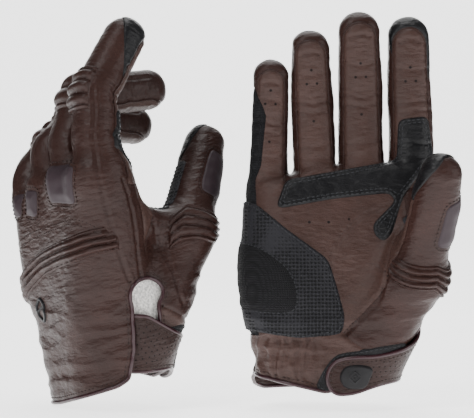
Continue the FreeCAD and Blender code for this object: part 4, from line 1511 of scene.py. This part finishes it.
def make_thumb_details(pattern):
    """Ribs, window, mesh patch and touch tip of the thumb."""
    skin, glove = pattern.cut, pattern.glove
    points = skin.points
    turn, height, radial = thumb_flat(glove, points)
    middle = np.interp(turn, THUMB_RIBS[:, 0], THUMB_RIBS[:, 1:].mean(axis=1))
    half = np.interp(turn, THUMB_RIBS[:, 0], (THUMB_RIBS[:, 2] - THUMB_RIBS[:, 1]) / 2)
    ends = (np.abs(wrapped(turn - 32)) - 112) * 0.26
    offset = (height - middle) * 8.5 / half
    field = np.maximum(np.maximum(np.abs(height - middle) - half, ends), radial - 23)
    ribs = pattern.ribbed(skin, field, offset, 4.2, 2.5)
    pattern.add("thumb_ribs", ribs, "brown_leather")
    window_field = on_thumb_patch(glove, points, THUMB_WINDOW_TURN, THUMB_WINDOW)
    window = pattern.panel(skin, window_field, 0.6, 0.8)
    pattern.add("thumb_window", window, "guard_rubber", {HIGH_THUMB: ("thumb_guard",)})
    border = pattern.panel(skin, window_field - 2.2, 0.25)
    pattern.sew(border, (0.8,), **WIDE_STITCH)
    patch = pattern.panel(skin, on_thumb_patch(glove, points, THUMB_MESH_TURN, THUMB_MESH),
                          0.9, 0.3)
    pattern.add("thumb_mesh", patch, "black_mesh")
    pattern.sew(patch, (1.3,), "black_thread")
    tip = pattern.panel(skin, touch_tip_field(glove, points), 0.6, 0.3)
    pattern.add("thumb_touch_tip", tip, "black_leather")


def make_cuff(pattern):
    """Bound hem and keyhole, loop patch, strap with its pull, and the raised back emblem."""
    cut = pattern.cut
    for line in cut.contours(cut.extra["inset"], 0.5):
        line = line.spaced(0.9, 12)
        if len(line.points) > 40:
            pattern.bindings.append(("maroon", tube(line, 1.15, 0.1)))
            for sideways in (-2.9, 2.9):
                row = line.moved(sideways)
                row = pattern.on_leather(row)
                if row is not None:
                    pattern.threads["brown_thread"].append(stitches(row, length=1.8, gap=1.0))
    points = cut.points
    loop_field = np.maximum(outline_field(across_up(points), rounded(LOOP, 4)),
                            points[:, 1] + 1)
    loop = pattern.panel(cut, loop_field, 0.9, 0.2)
    pattern.add("loop_patch", loop, "black_loop", {0: ("loop_patch",)}, body="hand")
    pattern.sew(loop, (1.2,), "black_thread")
    base = pattern.smooth.skin
    base = base.pick((base.points[base.triangles][:, :, 2].max(axis=1) < 60))
    band_line = rounded(np.array(STRAP) * (WRIST_ROUND, 1), 5)
    field = outline_field(wrist_flat(base.points), band_line)
    source = Cloth(base.points, base.triangles, base.normals, {"field": field})
    piece = source.pick((field[base.triangles] < 3).any(axis=1)).refined()
    piece = piece.inside(piece.extra["field"])
    rim = np.sqrt(step(piece.extra["inset"] / 1.1))
    tucked = 4.2 * step((wrist_flat(piece.points)[:, 0] / WRIST_ROUND + 9) / 12)
    top = piece.lifted(2.0 + 1.2 * rim - tucked)
    under = piece.lifted(2.0 - 0.6 * rim - tucked)
    under.triangles = under.triangles[:, ::-1]
    under.normals = -under.normals
    pattern.add("strap_band", joined([top, under]), "strap_leather", {0: ("strap",)},
                body="strap")
    edge = max(top.contours(piece.extra["inset"], 0.25), key=lambda c: len(c.points))
    pattern.add("strap_binding", tube(edge.spaced(0.9, 10), 1.25, -0.3), "maroon_binding",
                body="strap")
    row = max(top.contours(piece.extra["inset"], 2.9), key=lambda c: len(c.points))
    pattern.add("strap_stitches", stitches(row.spaced(LINE_STEP), length=1.7, gap=1.0),
                "brown_thread", body="strap")
    strap_skin = Surface(top)
    # The strap's perforations are dark discs on its top: painted shade, not holes.
    dots = []
    for row, up in enumerate(np.arange(2, 39, 2.9)):
        for turn in np.arange(-62, 9, 4.2) + (2.1 if row % 2 else 0):
            dots.append((turn * WRIST_ROUND, up))
    dots = np.array(dots)
    dots = dots[outline_field(dots, band_line) < -5]
    starts = np.column_stack([np.full(len(dots), -3.0), np.zeros(len(dots)), dots[:, 1]])
    ways = np.radians(dots[:, 0] / WRIST_ROUND)
    ways = np.column_stack([np.cos(ways), np.sin(ways), np.zeros(len(dots))])
    at, normals = strap_skin.shoot(starts + ways * 100, -ways)
    pattern.add("strap_holes", discs(at, normals, 0.5, 0.05, 6), "vent_dark", body="strap")
    badge_field = np.maximum(outline_field(across_up(top.points), rounded(BADGE, 4)),
                             top.points[:, 1])
    badge = pattern.panel(top, badge_field, 1.6, 0.5, soft=1.4)
    flat = across_up(badge.points)
    outer = np.abs(outline_field(flat, rounded(BADGE_MARK, 1.2))) - 0.55
    small_mark = (BADGE_MARK - BADGE_MIDDLE) * 0.35 + BADGE_MIDDLE
    inner = np.abs(outline_field(flat, rounded(small_mark, 0.4))) - 0.4
    raised = 0.55 * step(-np.minimum(outer, inner) / 0.5)
    badge = badge.lifted(raised)
    pattern.add("strap_pull", badge, "pull_rubber", {0: ("strap_badge",)}, body="strap")
    on_hook = outline_field(wrist_flat(under.points), rounded(HOOK, 3)) < 0
    hook = under.pick(on_hook[under.triangles].all(axis=1)).lifted(0.35)
    pattern.add("hook_patch", hook, "black_loop", {0: ("hook_patch",)}, body="strap")
    ring = np.abs(outline_field(across_up(points), rounded(EMBLEM, 1.5))) - 1.3
    bar = outline_field(across_up(points), rounded(EMBLEM_BAR, 0.5))
    shape = np.maximum(np.minimum(ring, bar), 8 - points[:, 1])
    raised = pattern.panel(cut, shape, 1.0, 0, fine=2, soft=0.8)
    pattern.add("back_emblem", raised, "black_leather", body="hand")


def make_threads(pattern):
    """All gathered stitches and bindings become pieces."""
    for thread, rows in pattern.threads.items():
        pattern.add(thread, joined(rows), thread)
    for colour, material in (("brown", "brown_leather"), ("maroon", "maroon_binding")):
        cords = joined([cord for kind, cord in pattern.bindings if kind == colour])
        pattern.add(f"{colour}_piping", cords, material,
                    {0: ("cuff_binding",)} if colour == "maroon" else {})


# ---------------------------------------------------------------- the stage


def soft_light(name, at, aim, size, power):
    """A square light that faces a point."""
    light = bpy.data.lights.new(name, "AREA")
    light.shape, light.size, light.energy = "SQUARE", size, power
    obj = bpy.data.objects.new(name, light)
    obj.location = at
    obj.rotation_euler = (Vector(aim) - Vector(at)).to_track_quat("-Z", "Y").to_euler()
    bpy.context.collection.objects.link(obj)


def make_stage(stage):
    """Pale sweep of paper, four soft lights, even ambient light and the camera."""
    paper = bpy.data.meshes.new("paper")
    profile = [(-3, 0), (1.0, 0)] + [(1.0 + math.sin(a) * 0.6, 0.6 - math.cos(a) * 0.6)
                                     for a in np.linspace(0.1, math.pi / 2, 14)] + [(1.6, 4)]
    points = [(x, y, z + stage.floor) for y, z in profile for x in (-0.75, 0.9)]
    faces = [(2 * k, 2 * k + 1, 2 * k + 3, 2 * k + 2) for k in range(len(profile) - 1)]
    paper.from_pydata(points, [], faces)
    paper.polygons.foreach_set("use_smooth", np.ones(len(faces), bool))
    finish = Finish("pale_paper")
    paper.materials.append(finish.done(Base_Color=(0.92, 0.92, 0.92), Roughness=0.9,
                                       Emission_Color=(1, 1, 1), Emission_Strength=2.1))
    sweep = bpy.data.objects.new("paper_sweep", paper)
    bpy.context.collection.objects.link(sweep)
    middle = (0.074, 0, 0.11)
    power = stage.light
    soft_light("key_light", (-0.55, -0.9, 1.15), middle, 0.5, 11 * power)
    soft_light("side_light", (1.2, -0.45, 0.5), middle, 0.45, 5.5 * power)
    soft_light("left_light", (-1.0, -0.7, 0.5), middle, 0.9, 2.2 * power)
    soft_light("top_light", (0.1, 0.1, 1.2), middle, 0.6, 6 * power)
    world = bpy.data.worlds.new("studio")
    world.use_nodes = True
    world.node_tree.nodes["Background"].inputs["Color"].default_value = (1, 1, 1, 1)
    world.node_tree.nodes["Background"].inputs["Strength"].default_value = 0.14
    bpy.context.scene.world = world
    camera = bpy.data.objects.new("camera", bpy.data.cameras.new("camera"))
    camera.data.lens, camera.data.sensor_width = 154.4, 36
    camera.location = (0.07375, -1.2, 0.10443)
    camera.rotation_euler = (math.pi / 2, 0, 0)
    bpy.context.collection.objects.link(camera)
    bpy.context.scene.camera = camera


# ---------------------------------------------------------------- the add-on


class GlovesLooks(bpy.types.PropertyGroup):
    """Sizes and colours shared by both gloves."""

    spacing: FloatProperty(name="Mesh spacing", description="Spacing of the skin's mesh",
                           default=0.00115, min=0.0005, subtype="DISTANCE", unit="LENGTH",
                           precision=5)
    wear: FloatProperty(name="Wear", description="Depth of the folds and creases",
                        default=1.0, min=0, max=2, subtype="FACTOR")
    back_colour: FloatVectorProperty(name="Back leather", description="Colour of the back",
                                     default=(0.031, 0.0138, 0.0112), size=3, min=0, max=1,
                                     subtype="COLOR")
    palm_colour: FloatVectorProperty(name="Palm leather", description="Colour of the palm",
                                     default=(0.054, 0.029, 0.024), size=3, min=0, max=1,
                                     subtype="COLOR")


class GlovesStage(bpy.types.PropertyGroup):
    """Floor height and strength of the light."""

    floor: FloatProperty(name="Floor", description="Height of the floor", default=-0.0125,
                         subtype="DISTANCE", unit="LENGTH")
    light: FloatProperty(name="Light", description="Strength of the soft lights", default=1.0,
                         min=0, max=10, subtype="FACTOR")


class Looks:
    """The chosen sizes, with the finishes made from the chosen colours."""

    def __init__(self, group):
        self.spacing, self.wear = group.spacing, group.wear
        self.finishes = build_finishes(group)


grown = {}


def patterns(context):
    """Both gloves' patterns, grown once."""
    if not grown:
        looks = Looks(context.scene.gloves_looks)
        grown.update({name: Pattern(name, looks) for name in GLOVES})
    return grown.values()


def on_both(context, maker):
    """Run one maker on both gloves."""
    for pattern in patterns(context):
        maker(pattern)
    return {"FINISHED"}


class GLOVES_OT_leather(bpy.types.Operator):
    """Grow both skins and cut the leather, knit and lining from them"""

    bl_idname = "gloves.leather"
    bl_label = "Leather, knit and lining"
    bl_options = {"REGISTER", "UNDO"}

    def execute(self, context):
        return on_both(context, make_leather)


class GLOVES_OT_overlays(bpy.types.Operator):
    """Sew on the palm slider, grip patch, knuckle windows and back ribs"""

    bl_idname = "gloves.overlays"
    bl_label = "Palm and back overlays"
    bl_options = {"REGISTER", "UNDO"}

    def execute(self, context):
        return on_both(context, make_overlays)


class GLOVES_OT_fingers(bpy.types.Operator):
    """Add the ribbed joints, index cap, painted-shade vent discs and finger seams"""

    bl_idname = "gloves.fingers"
    bl_label = "Finger details"
    bl_options = {"REGISTER", "UNDO"}

    def execute(self, context):
        return on_both(context, make_finger_details)


class GLOVES_OT_thumbs(bpy.types.Operator):
    """Add the thumb's ribs, window, mesh patch and touch tip"""

    bl_idname = "gloves.thumbs"
    bl_label = "Thumb details"
    bl_options = {"REGISTER", "UNDO"}

    def execute(self, context):
        return on_both(context, make_thumb_details)


class GLOVES_OT_cuffs(bpy.types.Operator):
    """Bind the cuffs and add the straps, pulls, loop patches and emblems"""

    bl_idname = "gloves.cuffs"
    bl_label = "Cuffs and straps"
    bl_options = {"REGISTER", "UNDO"}

    def execute(self, context):
        return on_both(context, make_cuff)


class GLOVES_OT_threads(bpy.types.Operator):
    """Turn the sewn rows and bound edges into stitches and piping"""

    bl_idname = "gloves.threads"
    bl_label = "Stitches and piping"
    bl_options = {"REGISTER", "UNDO"}

    def execute(self, context):
        return on_both(context, make_threads)


class GLOVES_OT_stage(bpy.types.Operator):
    """Lay out the pale paper, the soft lights and the camera"""

    bl_idname = "gloves.stage"
    bl_label = "Stage"
    bl_options = {"REGISTER", "UNDO"}

    def execute(self, context):
        make_stage(context.scene.gloves_stage)
        return {"FINISHED"}


OPERATORS = (GLOVES_OT_leather, GLOVES_OT_overlays, GLOVES_OT_fingers, GLOVES_OT_thumbs,
             GLOVES_OT_cuffs, GLOVES_OT_threads, GLOVES_OT_stage)


class GLOVES_PT_panel(bpy.types.Panel):
    """Buttons that build the gloves, with their sizes and colours"""

    bl_idname = "GLOVES_PT_panel"
    bl_label = "Riding gloves"
    bl_space_type = "VIEW_3D"
    bl_region_type = "UI"
    bl_category = "Gloves"

    def draw(self, context):
        for group in (context.scene.gloves_looks, context.scene.gloves_stage):
            for name in group.bl_rna.properties.keys():
                if name not in ("rna_type", "name"):
                    self.layout.prop(group, name)
        for operator in OPERATORS:
            self.layout.operator(operator.bl_idname)


CLASSES = (GlovesLooks, GlovesStage, *OPERATORS, GLOVES_PT_panel)


def register():
    for cls in CLASSES:
        bpy.utils.register_class(cls)
    bpy.types.Scene.gloves_looks = PointerProperty(type=GlovesLooks)
    bpy.types.Scene.gloves_stage = PointerProperty(type=GlovesStage)


def unregister():
    del bpy.types.Scene.gloves_looks, bpy.types.Scene.gloves_stage
    for cls in reversed(CLASSES):
        bpy.utils.unregister_class(cls)


def main():
    register()
    build = bpy.ops.gloves
    for operator in (build.leather, build.overlays, build.fingers, build.thumbs, build.cuffs,
                     build.threads, build.stage):
        if operator() != {"FINISHED"}:
            raise RuntimeError(f"{operator.idname()} did not finish")


if __name__ == "__main__":
    main()
